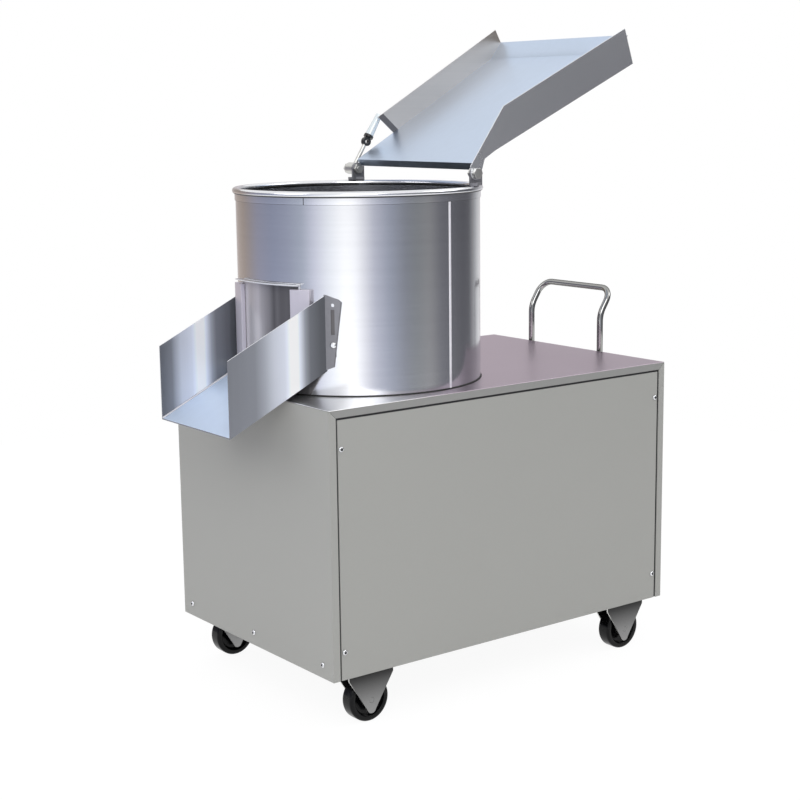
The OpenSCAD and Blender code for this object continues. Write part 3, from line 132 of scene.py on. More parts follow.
class Sock:
    """A node's output that takes part in Python expressions."""

    def __init__(self, graph: "Graph", out: bpy.types.NodeSocket) -> None:
        """Keeps the graph that the output belongs to."""
        self.graph = graph
        self.out = out

    def math(self, operation: str, *others: "Sock | float", swap: bool = False) -> "Sock":
        """Adds a Math node.

        Args:
            operation: The Math node's operation.
            others: The further operands.
            swap: True if the first other operand comes first.

        Returns:
            The node's value.
        """
        values = [self, *others]
        if swap:
            values[0], values[1] = values[1], values[0]
        return self.graph.add("ShaderNodeMath", {"operation": operation}, dict(enumerate(values)))

    def __add__(self, other: "Sock | float") -> "Sock":
        """The sum."""
        return self.math("ADD", other)

    __radd__ = __add__

    def __mul__(self, other: "Sock | float") -> "Sock":
        """The product."""
        return self.math("MULTIPLY", other)

    __rmul__ = __mul__

    def __sub__(self, other: "Sock | float") -> "Sock":
        """The difference."""
        return self.math("SUBTRACT", other)

    def __rsub__(self, other: "Sock | float") -> "Sock":
        """The difference from a number."""
        return self.math("SUBTRACT", other, swap=True)

    def ramp(self, low: float, high: float) -> "Sock":
        """Eases from 0 at low to 1 at high.

        Args:
            low: The value that gives 0.
            high: The value that gives 1.

        Returns:
            The eased value.
        """
        return self.graph.add("ShaderNodeMapRange", {"interpolation_type": "SMOOTHSTEP"},
                              {0: self, 1: low, 2: high, 3: 0.0, 4: 1.0})


class Graph:
    """The node tree of a material or of the world."""

    def __init__(self, owner: "Material | bpy.types.World") -> None:
        """Starts an empty tree."""
        owner.use_nodes = True
        self.owner = owner
        self.tree = owner.node_tree
        self.tree.nodes.clear()

    def add(self, kind: str, settings: dict[str, Any], inputs: dict[Any, Any],
            out: int | str = 0) -> Sock | None:
        """Adds a node.

        Args:
            kind: The node's type.
            settings: Its settings, and a ramp's stops under the name stops.
            inputs: Values or sockets by input name or number.
            out: The output to return, by name or number.

        Returns:
            That output, or None where the node has none.
        """
        node = self.tree.nodes.new(kind)
        for key, value in settings.items():
            if key == "stops":
                band = node.color_ramp.elements
                while len(band) < len(value):
                    band.new(0.5)
                for stop, (place, colour) in zip(band, value):
                    stop.position, stop.color = place, (*colour, 1)
            else:
                setattr(node, key, value)
        for key, value in inputs.items():
            if isinstance(value, Sock):
                self.tree.links.new(value.out, node.inputs[key])
            else:
                node.inputs[key].default_value = value
        return Sock(self, node.outputs[out]) if node.outputs else None

    def place(self) -> Sock:
        """The point in the object's own frame."""
        return self.add("ShaderNodeTexCoord", {}, {}, "Object")

    def split(self, vector: Sock) -> tuple[Sock, Sock, Sock]:
        """A vector's three parts."""
        node = self.add("ShaderNodeSeparateXYZ", {}, {0: vector}).out.node
        return Sock(self, node.outputs[0]), Sock(self, node.outputs[1]), Sock(self, node.outputs[2])

    def noise(self, scale: Sequence[float], detail: float = 3.0, shift: Sequence[float] = (0, 0, 0)) -> Sock:
        """Noise in the object's own frame.

        Args:
            scale: Grains per metre along X, Y and Z.
            detail: The noise's octaves.
            shift: A shift that gives another pattern.

        Returns:
            The noise, from about 0.2 to 0.8.
        """
        mapped = self.add("ShaderNodeMapping", {}, {"Vector": self.place(), "Scale": tuple(scale),
                                                    "Location": tuple(shift)})
        return self.add("ShaderNodeTexNoise", {}, {"Vector": mapped, "Scale": 1.0, "Detail": detail})

    def blend(self, factor: Sock, low: "Colour | Sock", high: "Colour | Sock") -> Sock:
        """Mixes two colours.

        Args:
            factor: 0 for low and 1 for high.
            low: The first colour.
            high: The second colour.

        Returns:
            The mixed colour.
        """
        full = [c if isinstance(c, Sock) else (*c, 1) for c in (low, high)]
        return self.add("ShaderNodeMix", {"data_type": "RGBA"}, {0: factor, 6: full[0], 7: full[1]}, 2)

    def bump(self, height: Sock, strength: float, distance: float, under: Sock | None = None) -> Sock:
        """A surface normal from a height.

        Args:
            height: The height pattern.
            strength: The bump's strength.
            distance: The height of the full pattern in metres.
            under: The normal that it is added to.

        Returns:
            The normal.
        """
        values = {"Strength": strength, "Distance": distance, "Height": height}
        return self.add("ShaderNodeBump", {}, values | ({"Normal": under} if under else {}))

    def seen(self) -> Sock:
        """1 for what the camera, metal and glass see, 0 for what lights other things."""
        path = self.add("ShaderNodeLightPath", {}, {}).out.node.outputs
        rays = [Sock(self, path[name]) for name in ("Is Camera Ray", "Is Glossy Ray", "Is Transmission Ray")]
        return rays[0].math("MAXIMUM", rays[1]).math("MAXIMUM", rays[2])

    def surface(self, values: dict[str, Any]) -> Material:
        """Closes the material with a Principled shader.

        Args:
            values: Values or sockets by the shader's input names.

        Returns:
            The material.
        """
        shader = self.add("ShaderNodeBsdfPrincipled", {}, values)
        self.add("ShaderNodeOutputMaterial", {}, {"Surface": shader})
        return self.owner


class Grain(Enum):
    """The way a sheet's brushed lines run, as grains per metre along X, Y and Z."""

    AROUND = (4.0, 4.0, 620.0)
    LENGTHWISE = (5.0, 700.0, 700.0)
    UPRIGHT = (700.0, 700.0, 5.0)
    TURNED = (250.0, 250.0, 250.0)


@dataclass(frozen=True)
class PaintedLightBands:
    """Painted light and shade: lighter and darker bands across a sheet, as shares of its tint, with a hue for
    the darkest, that paint reflections and shade into the base colour.
    """

    along: Triple
    low: float
    high: float
    stops: tuple[Point, ...]
    hue: Colour = (1, 1, 1)

    def tone(self, g: Graph) -> Sock:
        """The painted light and shade as a colour.

        Args:
            g: The material's graph.

        Returns:
            The colour at each point.
        """
        x, y, z = g.split(g.place())
        way = x * self.along[0] + y * self.along[1] + z * self.along[2]
        span = 1 - min(grey for _, grey in self.stops)
        stops = [(place, tuple(grey * (1 - (1 - part) * (1 - grey) / span) for part in self.hue))
                 for place, grey in self.stops]
        share = (way - self.low) * (1 / (self.high - self.low))
        return g.add("ShaderNodeValToRGB", {"stops": stops}, {0: share})


@dataclass(frozen=True)
class Steel:
    """A bare metal finish with brushed lines, clouding, handling marks, a wavy sheet and painted bands of
    reflection and shade.
    """

    name: str
    tint: Colour
    rough: float
    grain: Grain = Grain.TURNED
    streak: float = 0.06
    cloud: float = 0.05
    relief: float = 0.00002
    wave: Triple | None = None
    depth: float = 0.0004
    metal: float = 1.0
    bands: PaintedLightBands | None = None
    glance: Colour = (1, 1, 1)

    def make(self) -> Material:
        """Builds the material.

        Returns:
            The material.
        """
        g = Graph(bpy.data.materials.new(self.name))
        dark, pale = shade(self.tint, 0.55), shade(self.tint, 1.45)
        lines = g.noise(self.grain.value, detail=4.0)
        broad = g.noise([v / 6 + 1 for v in self.grain.value], detail=2.0, shift=(3, 1, 7))
        marks = g.noise((9, 9, 9), detail=5.0, shift=(1, 5, 2))
        tone = ((lines - 0.5) * self.streak * 2 + (broad - 0.5) * self.streak * 2
                + (marks - 0.5) * self.cloud * 2)
        base = g.blend((tone + 0.5).math("MINIMUM", 1.0).math("MAXIMUM", 0.0), dark, pale)
        # Painted light: the bands multiply the base colour by painted reflections and shade.
        if self.bands:
            settings = {"data_type": "RGBA", "blend_type": "MULTIPLY", "clamp_result": True}
            base = g.add("ShaderNodeMix", settings, {0: 1.0, 6: base, 7: self.bands.tone(g)}, 2)
        rough = (lines - 0.5) * (self.streak * 1.5) + (marks - 0.5) * (self.cloud * 2) + self.rough
        normal = g.bump(lines, 0.35, self.relief)
        if self.wave:
            normal = g.bump(g.noise(self.wave, detail=1.0, shift=(5, 3, 1)), 1.0, self.depth, normal)
        return g.surface({"Base Color": base, "Metallic": self.metal, "Normal": normal,
                          "Roughness": rough.math("MAXIMUM", 0.04), "Specular Tint": (*self.glance, 1)})


@dataclass(frozen=True)
class Paint:
    """A sprayed finish on sheet or cast metal, with orange peel and faint dust."""

    name: str
    colour: Colour
    rough: float = 0.42
    peel: float = 0.00003
    dust: float = 0.12
    gloss: float = 0.4

    def make(self) -> Material:
        """Builds the material.

        Returns:
            The material.
        """
        g = Graph(bpy.data.materials.new(self.name))
        dark, pale = shade(self.colour, 1 - self.dust), shade(self.colour, 1 + self.dust)
        drift = g.noise((2.2, 2.2, 2.2), detail=3.0)
        speck = g.noise((420, 420, 420), detail=2.0, shift=(4, 2, 9))
        base = g.blend(drift * 0.6 + speck * 0.4, dark, pale)
        rough = (drift - 0.5) * 0.2 + (speck - 0.5) * 0.1 + self.rough
        return g.surface({"Base Color": base, "Roughness": rough, "Specular IOR Level": self.gloss,
                          "Normal": g.bump(speck, 0.5, self.peel)})


@dataclass(frozen=True)
class Moulded:
    """Moulded plastic or rubber with a fine skin texture and scuffs."""

    name: str
    colour: Colour
    rough: float = 0.35
    skin: float = 0.00004
    scuff: float = 0.15
    gloss: float = 0.5

    def make(self) -> Material:
        """Builds the material.

        Returns:
            The material.
        """
        g = Graph(bpy.data.materials.new(self.name))
        pale = tuple(c * (1 + self.scuff) + 0.012 for c in self.colour)
        skin = g.noise((1500, 1500, 1500), detail=2.0)
        scuff = g.noise((60, 60, 60), detail=5.0, shift=(2, 8, 3)).ramp(0.5, 0.75)
        base = g.blend(scuff * 0.6, self.colour, pale)
        rough = scuff * self.scuff + (skin - 0.5) * 0.1 + self.rough
        return g.surface({"Base Color": base, "Roughness": rough, "Specular IOR Level": self.gloss,
                          "Normal": g.bump(skin, 0.4, self.skin)})


@dataclass(frozen=True)
class Grit:
    """A coarse abrasive coat."""

    name: str
    colour: Colour
    spark: Colour
    grains: float = 700.0
    relief: float = 0.0006

    def make(self) -> Material:
        """Builds the material.

        Returns:
            The material.
        """
        g = Graph(bpy.data.materials.new(self.name))
        cell = g.add("ShaderNodeTexVoronoi", {}, {"Vector": g.place(), "Scale": self.grains})
        tone = g.noise((500, 500, 500), detail=3.0)
        wear = g.noise((14, 14, 14), detail=3.0, shift=(1, 2, 3))
        base = g.blend(tone.ramp(0.55, 0.75) * 0.7 + wear * 0.2, self.colour, self.spark)
        return g.surface({"Base Color": base, "Roughness": wear * 0.2 + 0.7,
                          "Normal": g.bump(cell, 0.8, self.relief)})


class Finish:
    """The finishes of this machine, made once each."""

    def __init__(self) -> None:
        """Makes the materials."""
        bright = (0.80, 0.81, 0.84)
        front, back = (corner.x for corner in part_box("top_deck"))
        lead, reach = 0.0226, 0.150
        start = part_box("discharge_chute")[0].x - lead
        # Painted reflections: light and dark bands across the chute's walls stand in for what the bare sheet
        # reflects.
        across = PaintedLightBands((1, 0.213, 0), start, start + reach, (
            (0, .18), (.267, .22), (.367, .34), (.467, .52), (.58, .62), (.633, .80), (.667, 1), (.713, .88),
            (.753, .62), (.80, .29), (.853, .15), (.967, .10)))
        # Painted reflections and shade: the walls' inside takes the same bands, darker over the outer part of
        # the chute.
        inside = replace(across, stops=tuple(
            (place, tone * (0.55 if place < 0.4 else 1)) for place, tone in across.stops))
        # Painted reflections: light and dark bands across the gate's width stand in for what its curved sheet
        # reflects.
        upright = PaintedLightBands((0, 1, 0), -0.06, 0.06, (
            (0, .11), (.06, .10), (.12, .14), (.17, .09), (.24, .20), (.31, .27), (.38, .34), (.45, .46),
            (.58, .42), (.72, .50), (.82, .34)))
        # Painted reflection: the deck's front part keeps its full tint, the rest is painted darker and
        # pinker, standing in for what the deck reflects.
        deck_painted_sheen = PaintedLightBands((1, 0, 0), front, back, ((0, 1), (.16, 1), (.34, .50), (1, .50)), (1, .831, .974))
        # Painted shade: the forks are painted darker towards the top, under the cabinet.
        fork_painted_shade = PaintedLightBands((0, 0, 1), 0.012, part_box("caster_fork_front_near")[1].z, (
            (0, 1), (.3, .85), (.6, .5), (.85, .2), (1, .08)))
        # The chute's walls take the painted reflection bands.
        chute = Steel("chute_brushed_painted_reflection_steel", (1.20, 1.26, 1.42), 0.24, Grain.UPRIGHT, 0.03, 0.03, metal=0.2,
                      bands=across)
        self.panel = Paint("panel_grey_paint", srgb(163, 163, 159), 0.45, dust=0.05).make()
        self.trim = Paint("deck_edge_paint", srgb(146, 146, 144), 0.40, dust=0.05).make()
        # The deck takes the painted reflection bands.
        self.deck = Steel("deck_satin_painted_sheen_steel", (0.92, 0.92, 0.92), 0.34, Grain.LENGTHWISE, 0.02, 0.04,
                          0.000006, bands=deck_painted_sheen).make()
        self.tub = Steel("tub_polished_steel", (0.72, 0.73, 0.76), 0.15, Grain.AROUND, 0.035, 0.04, 0.00001,
                         wave=(4, 4, 1), depth=0.0002).make()
        self.weld = Steel("weld_ground_steel", (0.86, 0.85, 0.90), 0.50, Grain.AROUND, 0.06, 0.05,
                          metal=0.3).make()
        self.rim = Steel("rim_polished_steel", bright, 0.16, Grain.AROUND, 0.03, 0.05).make()
        # Painted shade: this near-black finish darkens the rim band's underside where shade falls; it also
        # colours the band's dark joint.
        self.shadow = Steel("rim_painted_shade_and_joint_steel", (0.07, 0.07, 0.075), 0.5, cloud=0.10).make()
        self.chute = chute.make()
        # The walls' inside takes the painted reflections and shade.
        self.chute_in = replace(chute, name="chute_inner_painted_reflection_steel", bands=inside).make()
        # Partly wear, partly painted shade: the streaks and clouding are wear, and the dark tint makes the
        # flanges, the chute's underside and the hinge brackets read darker than the same steel elsewhere.
        self.flange = Steel("flange_wear_and_painted_shade_steel", (0.24, 0.24, 0.26), 0.42, streak=0.10, cloud=0.22,
                            relief=0.00006, metal=0.6).make()
        self.bed = Steel("chute_floor_steel", (0.60, 0.71, 0.88), 0.34, Grain.LENGTHWISE, 0.03, 0.04, 0.00001,
                         metal=0.2).make()
        self.floor = Steel("floor_satin_steel", (0.55, 0.64, 0.78), 0.36, Grain.LENGTHWISE, 0.03, 0.04,
                           0.00001).make()
        # Painted highlight: this pale, partly diffuse finish paints the thin light lines along the sheets'
        # cut edges.
        self.edge = Steel("cut_edge_painted_highlight_steel", bright, 0.35, streak=0.04, metal=0.4).make()
        # The gate takes the painted reflection bands.
        self.gate = Steel("gate_brushed_painted_reflection_steel", (1.16, 1.12, 1.18), 0.24, Grain.UPRIGHT, 0.06, 0.04,
                          metal=0.35, bands=upright).make()
        self.guide = Steel("guide_satin_steel", (0.62, 0.59, 0.66), 0.30, Grain.UPRIGHT, 0.04, 0.05,
                           metal=0.3).make()
        self.tray = Steel("tray_satin_steel", (0.66, 0.67, 0.70), 0.27, streak=0.003, cloud=0.02, relief=0.0,
                          metal=0.88).make()
        self.warm = Steel("tray_inner_steel", (0.64, 0.59, 0.54), 0.34, Grain.LENGTHWISE, 0.05, 0.06).make()
        self.strap = Steel("strap_dark_steel", (0.13, 0.125, 0.13), 0.40, streak=0.05, cloud=0.10,
                           metal=0.5).make()
        self.bright = Steel("bright_steel", (0.72, 0.73, 0.75), 0.10, streak=0.02, cloud=0.04,
                            relief=0.000004).make()
        self.rod = Steel("rod_bright_steel", (0.38, 0.38, 0.37), 0.07, streak=0.02, cloud=0.03,
                         relief=0.000003, glance=(0.02, 0.02, 0.02)).make()
        self.tube = Steel("stay_tube_steel", (0.74, 0.80, 0.83), 0.22, streak=0.03, cloud=0.04,
                          metal=0.5).make()
        self.zinc = Steel("zinc_plate", (0.62, 0.62, 0.60), 0.34, cloud=0.10).make()
        self.machined = Steel("turned_steel", (0.60, 0.61, 0.63), 0.25, Grain.AROUND, 0.08, 0.05).make()
        # The forks take the painted shade, darker towards the top.
        self.fork = Steel("fork_pressed_steel", (0.31, 0.31, 0.31), 0.40, streak=0.03, bands=fork_painted_shade).make()
        self.frame = Paint("frame_primer", (0.03, 0.03, 0.033), 0.6, 0.00006, 0.2).make()
        self.cast = Paint("cast_iron_skin", (0.085, 0.085, 0.09), 0.62, 0.0002, 0.25).make()
        self.motor = Paint("motor_paint", (0.035, 0.06, 0.09), 0.35, 0.00008, 0.15).make()
        self.wheel = Moulded("wheel_black", (0.003, 0.003, 0.0035), 0.14, gloss=0.18).make()
        self.rubber = Moulded("black_rubber", (0.016, 0.016, 0.016), 0.65).make()
        self.black = Moulded("black_plastic", (0.014, 0.014, 0.015), 0.32).make()
        self.green = Moulded("green_button", (0.02, 0.26, 0.05), 0.25).make()
        self.red = Moulded("red_button", (0.48, 0.02, 0.015), 0.25).make()
        self.grit = Grit("abrasive_coat", (0.035, 0.034, 0.033), (0.22, 0.21, 0.20)).make()
        self.disc = Grit("disc_grit", (0.12, 0.12, 0.12), (0.45, 0.45, 0.45)).make()


def soften(bm: Shape, width: float, segments: int = 2) -> None:
    """Rounds the sharp edges of a shape.

    Args:
        bm: The shape.
        width: The rounding's width in metres.
        segments: Its steps.
    """
    edges = [e for e in bm.edges if e.is_manifold and e.calc_face_angle(0) > SHARP]
    if edges:
        bmesh.ops.bevel(bm, geom=edges, offset=width, offset_type="OFFSET", segments=segments, profile=0.5,
                        affect="EDGES", clamp_overlap=True, material=-1)


def outward(bm: Shape) -> None:
    """Merges doubled points and turns the faces outwards."""
    bmesh.ops.remove_doubles(bm, verts=bm.verts, dist=1e-6)
    bmesh.ops.recalc_face_normals(bm, faces=bm.faces)


def thin(face: Face, width: float = 0.0021) -> bool:
    """Tells whether a face is the cut edge of a sheet or a rounding.

    Args:
        face: The face.
        width: The greatest width of such a face in metres.

    Returns:
        True for a narrow face.
    """
    return face.calc_area() < width * max(e.calc_length() for e in face.edges)


def only(geom: Iterable[Any], kind: type) -> list[Any]:
    """The parts of one kind out of an operator's result."""
    return [g for g in geom if isinstance(g, kind)]


def chain(bm: Shape, points: Iterable[Sequence[float]], closed: bool = False) -> list[Any]:
    """Adds a chain of points joined by edges.

    Args:
        bm: The shape.
        points: The points.
        closed: True if the last point joins the first.

    Returns:
        The chain's points and edges.
    """
    verts = [bm.verts.new(p) for p in points]
    pairs = list(zip(verts, verts[1:])) + ([(verts[-1], verts[0])] if closed else [])
    return verts + [bm.edges.new(pair) for pair in pairs]


def turn(bm: Shape, profile: Sequence[Point], at: Vector, axis: Vector, steps: int,
         closed: bool = True, side: Vector | None = None, sweep: float = TAU) -> None:
    """Turns a profile round an axis.

    Args:
        bm: The shape that the turned form is added to.
        profile: Radius and height pairs.
        at: A point on the axis, at height 0.
        axis: The axis direction.
        steps: Steps of the turn.
        closed: True if the profile is a closed outline.
        side: The direction in which the turn starts.
        sweep: The angle of the turn.
    """
    axis = axis.normalized()
    side = side or axis.orthogonal().normalized()
    geom = chain(bm, [at + side * r + axis * h for r, h in profile], closed)
    full = sweep > TAU - 1e-6
    bmesh.ops.spin(bm, geom=geom, cent=at, axis=axis, angle=sweep, steps=steps, use_merge=full,
                   use_duplicate=False)
    if closed and not full:
        bmesh.ops.holes_fill(bm, edges=[e for e in bm.edges if e.is_boundary], sides=0)
    outward(bm)


def prism(bm: Shape, outline: Sequence[Sequence[float]], shift: Vector) -> None:
    """Draws out a closed outline into a solid bar.

    Args:
        bm: The shape.
        outline: The outline's points.
        shift: How far the bar runs.
    """
    face = bm.faces.new([bm.verts.new(p) for p in outline])
    made = bmesh.ops.extrude_face_region(bm, geom=[face], use_keep_orig=True)["geom"]
    bmesh.ops.translate(bm, verts=only(made, bmesh.types.BMVert), vec=shift)
    bmesh.ops.recalc_face_normals(bm, faces=bm.faces)


def rod(bm: Shape, radius: float, route: Sequence[Vector], bends: Sequence[float],
        facets: int = 24, steps: int = 10) -> None:
    """Bends a round rod along a route.

    Args:
        bm: The shape that the rod is added to.
        radius: The rod's radius.
        route: The corners of its centre line, ends included.
        bends: The bend radius at each inner corner.
        facets: Sides of the rod.
        steps: Steps of each bend.
    """
    ways = [(b - a).normalized() for a, b in zip(route, route[1:])]
    place = Matrix.Translation(route[0]) @ ways[0].to_track_quat("Z", "Y").to_matrix().to_4x4()
    ring = bmesh.ops.create_circle(bm, cap_ends=True, segments=facets, radius=radius, matrix=place)["verts"]
    edges = [e for e in bm.edges if e.verts[0] in ring and e.verts[1] in ring]
    start = route[0]
    for number, way in enumerate(ways):
        corner = route[number + 1]
        last = number == len(ways) - 1
        angle = 0.0 if last else way.angle(ways[number + 1])
        trim = 0.0 if last else bends[number] * math.tan(angle / 2)
        made = bmesh.ops.extrude_edge_only(bm, edges=edges)["geom"]
        bmesh.ops.translate(bm, verts=only(made, bmesh.types.BMVert), vec=corner - way * trim - start)
        edges = [e for e in only(made, bmesh.types.BMEdge) if len(e.link_faces) == 1]
        if not last:
            axis = way.cross(ways[number + 1]).normalized()
            centre = corner - way * trim + axis.cross(way) * bends[number]
            geom = edges + list({v for e in edges for v in e.verts})
            made = bmesh.ops.spin(bm, geom=geom, cent=centre, axis=axis, angle=angle, steps=steps,
                                  use_duplicate=False)["geom_last"]
            edges = only(made, bmesh.types.BMEdge)
            start = corner + ways[number + 1] * trim
    bmesh.ops.holes_fill(bm, edges=edges, sides=0)
    outward(bm)


class Piece:
    """A finished mesh on its way into the scene."""

    def __init__(self, name: str) -> None:
        """Starts an empty shape.

        Args:
            name: The piece's name.
        """
        self.name = name
        self.bm = bmesh.new()

    @classmethod
    def copy_of(cls, node: str, width: float, segments: int = 2, join: bool = True) -> "Piece":
        """Starts from a frame node, with its edges rounded.

        Args:
            node: The node.
            width: The rounding's width in metres.
            segments: The rounding's steps.
            join: True if flat faces are joined first.

        Returns:
            The piece.
        """
        piece = cls(node + "_dressed")
        piece.bm.from_mesh(frame["nodes"][node].data)
        bmesh.ops.remove_doubles(piece.bm, verts=piece.bm.verts, dist=MERGE)
        if join:
            bmesh.ops.dissolve_limit(piece.bm, angle_limit=FLAT, verts=piece.bm.verts, edges=piece.bm.edges,
                                     use_dissolve_boundaries=False)
        soften(piece.bm, width, segments)
        return piece

    def ship(self, finishes: Sequence[Material], *nodes: str,
             pick: Pick | None = None) -> bpy.types.Object:
        """Puts the shape into the scene in place of frame nodes.

        Args:
            finishes: The piece's materials.
            nodes: The nodes that it stands for; it rides on the first one's body.
            pick: Gives each face's material number.

        Returns:
            The object.
        """
        thing = self.lay(finishes, nodes[0], pick)
        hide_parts(*nodes)
        return thing

    def lay(self, finishes: Sequence[Material], node: str,
            pick: Pick | None = None) -> bpy.types.Object:
        """Puts the shape into the scene beside a frame node.

        Args:
            finishes: The piece's materials.
            node: The node whose body it rides on.
            pick: Gives each face's material number.

        Returns:
            The object.
        """
        mesh = bpy.data.meshes.new(self.name)
        for face in self.bm.faces:
            face.smooth = True
            if pick:
                face.material_index = pick(face)
        self.bm.to_mesh(mesh)
        self.bm.free()
        for finish in finishes:
            mesh.materials.append(finish)
        thing = bpy.data.objects.new(self.name, mesh)
        bpy.context.scene.collection.objects.link(thing)
        normals = thing.modifiers.new("even_normals", "WEIGHTED_NORMAL")
        normals.keep_sharp = True
        normals.weight = 80
        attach(thing, BODY_OF[node])
        LOG.info("%s: %d faces", self.name, len(mesh.polygons))
        return thing


def loose_boxes(node: str) -> list[tuple[Vector, Vector]]:
    """The boxes of a node's separate solids.

    Args:
        node: The node.

    Returns:
        Lowest and highest corner of each solid.
    """
    bm = bmesh.new()
    bm.from_mesh(frame["nodes"][node].data)
    bmesh.ops.remove_doubles(bm, verts=bm.verts, dist=MERGE)
    left, boxes = set(bm.verts), []
    while left:
        stack, group = [left.pop()], []
        while stack:
            vert = stack.pop()
            group.append(vert.co.copy())
            near = {e.other_vert(vert) for e in vert.link_edges} & left
            left -= near
            stack.extend(near)
        boxes.append((Vector(min(c[i] for c in group) for i in range(3)),
                      Vector(max(c[i] for c in group) for i in range(3))))
    bm.free()
    return boxes


def dress(finish: Material, *nodes: str) -> None:
    """Gives frame nodes a material.

    Args:
        finish: The material.
        nodes: The nodes.
    """
    for node in nodes:
        mesh = frame["nodes"][node].data
        mesh.materials.clear()
        mesh.materials.append(finish)
        LOG.info("%s: %s", node, finish.name)


@dataclass
class Assembly:
    """A group of pieces that share the machine's finishes."""

    finish: Finish

    def round_off(self, finish: Material, width: float, *nodes: str, segments: int = 2) -> None:
        """Replaces nodes by copies with rounded edges.

        Args:
            finish: The material.
            width: The rounding's width in metres.
            nodes: The nodes.
            segments: The rounding's steps.
        """
        for node in nodes:
            Piece.copy_of(node, width, segments).ship([finish], node)


@dataclass
class TubWork(Assembly):
    """A group of pieces that is set out from the tub's axis."""

    axis: Vector = field(init=False)
    radius: float = field(init=False)

    def __post_init__(self) -> None:
        """Finds the axis at height 0 and the tub's outer radius."""
        low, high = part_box("tub_shell")
        self.axis = Vector(((low.x + high.x) / 2, (low.y + high.y) / 2, 0))
        self.radius = (high.x - low.x) / 2


@dataclass
class Cabinet(Assembly):
    """Sheet cabinet: deck, side and end panels, screws and the frame inside."""

    fold: float = 0.0016
    side_edge: float = 0.0004
    end_edge: float = 0.0007
    head_h: float = 0.0024
    head_steps: int = 28
    shank: float = 0.45
    socket: float = 0.46

    def screws(self) -> None:
        """Turns the button-head screws with their sockets."""
        piece = Piece("panel_screws_dressed")
        for low, high in loose_boxes("panel_screws"):
            size, middle = high - low, (low + high) / 2
            lie = 1 if size.x < size.y else 0
            out = Vector((0, 0, 0))
            out[lie] = math.copysign(1, middle[lie] - (CAD_BOX[0][lie] + CAD_BOX[1][lie]) / 2)
            r, length = size.z / 2, size[lie]
            foot, head = middle - out * length / 2, length - self.head_h
            made = set(piece.bm.faces)
            turn(piece.bm, [(0, 0), (r * self.shank, 0), (r * self.shank, head), (r * 0.97, head),
                            (r, head + 0.0003), (r, head + 0.0008), (r * 0.94, head + 0.0014),
                            (r * 0.8, head + 0.002), (r * 0.62, length), (r * self.socket, length),
                            (r * (self.socket - 0.05), length - 0.0002),
                            (r * (self.socket - 0.06), head + 0.0007), (0, head + 0.0005)],
                 foot, out, self.head_steps, closed=False)
            for face in set(piece.bm.faces) - made:
                arm = face.calc_center_median() - foot
                rise = arm.dot(out)
                inner = (arm - out * rise).length < r * self.socket
                face.material_index = int(rise > head / 2 and inner)
        piece.ship([self.finish.bright, self.finish.black], "panel_screws")

    def build(self) -> None:
        """Builds and dresses the cabinet."""
        f = self.finish
        Piece.copy_of("top_deck", self.fold, 4).ship([f.deck, f.trim], "top_deck",
                                                     pick=lambda face: int(face.normal.z <= 0.5))
        self.round_off(f.panel, self.side_edge, "near_side_panel", "far_side_panel")
        self.round_off(f.panel, self.end_edge, "front_end_panel", "rear_end_panel", segments=3)
        dress(f.frame, "base_frame")
        self.screws()


@dataclass
class Casters(Assembly):
    """Four rigid casters."""

    tread: float = 0.032
    half: float = 0.011
    hub: float = 0.0125
    bore: float = 0.00405
    steps: int = 72
    fork_edge: float = 0.0006
    fork_cut: float = 0.0034
    pin_edge: float = 0.0005
    bolt_edge: float = 0.0004

    def wheel(self, place: str) -> None:
        """Turns one wheel.

        Args:
            place: The wheel's place in the node names.
        """
        low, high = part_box(f"wheel_{place}")
        half = [(self.bore, self.hub), (0.0088, self.hub), (0.0098, self.hub - 0.0006), (0.0100, 0.0062),
                (0.0112, 0.0050), (0.0215, 0.0050), (0.0232, 0.0062), (0.0243, 0.0100), (0.0252, 0.0109),
                (0.0288, self.half), (0.0302, 0.0106), (0.0313, 0.0097), (0.0319, 0.0084),
                (self.tread, 0.0066)]
        piece = Piece(f"wheel_{place}_dressed")
        turn(piece.bm, half + [(r, -h) for r, h in reversed(half)], (low + high) / 2, Vector((0, 1, 0)),
             self.steps)
        piece.ship([self.finish.wheel], f"wheel_{place}")

    def build(self) -> None:
        """Builds and dresses the casters."""
        f = self.finish

        def zone(face: Face) -> int:
            """0 for a fork's sheet and 1 for its cut edge, whose pale zinc finish is a painted highlight."""
            return int(abs(face.normal.y) < 0.6 and face.normal.z < 0.3 and thin(face, self.fork_cut))

        for place in ("front_near", "front_far", "rear_near", "rear_far"):
            node = f"caster_fork_{place}"
            Piece.copy_of(node, self.fork_edge).ship([f.fork, f.zinc], node, pick=zone)
            self.wheel(place)
        self.round_off(f.fork, self.pin_edge, "axle_pins")
        self.round_off(f.zinc, self.bolt_edge, "caster_bolts")


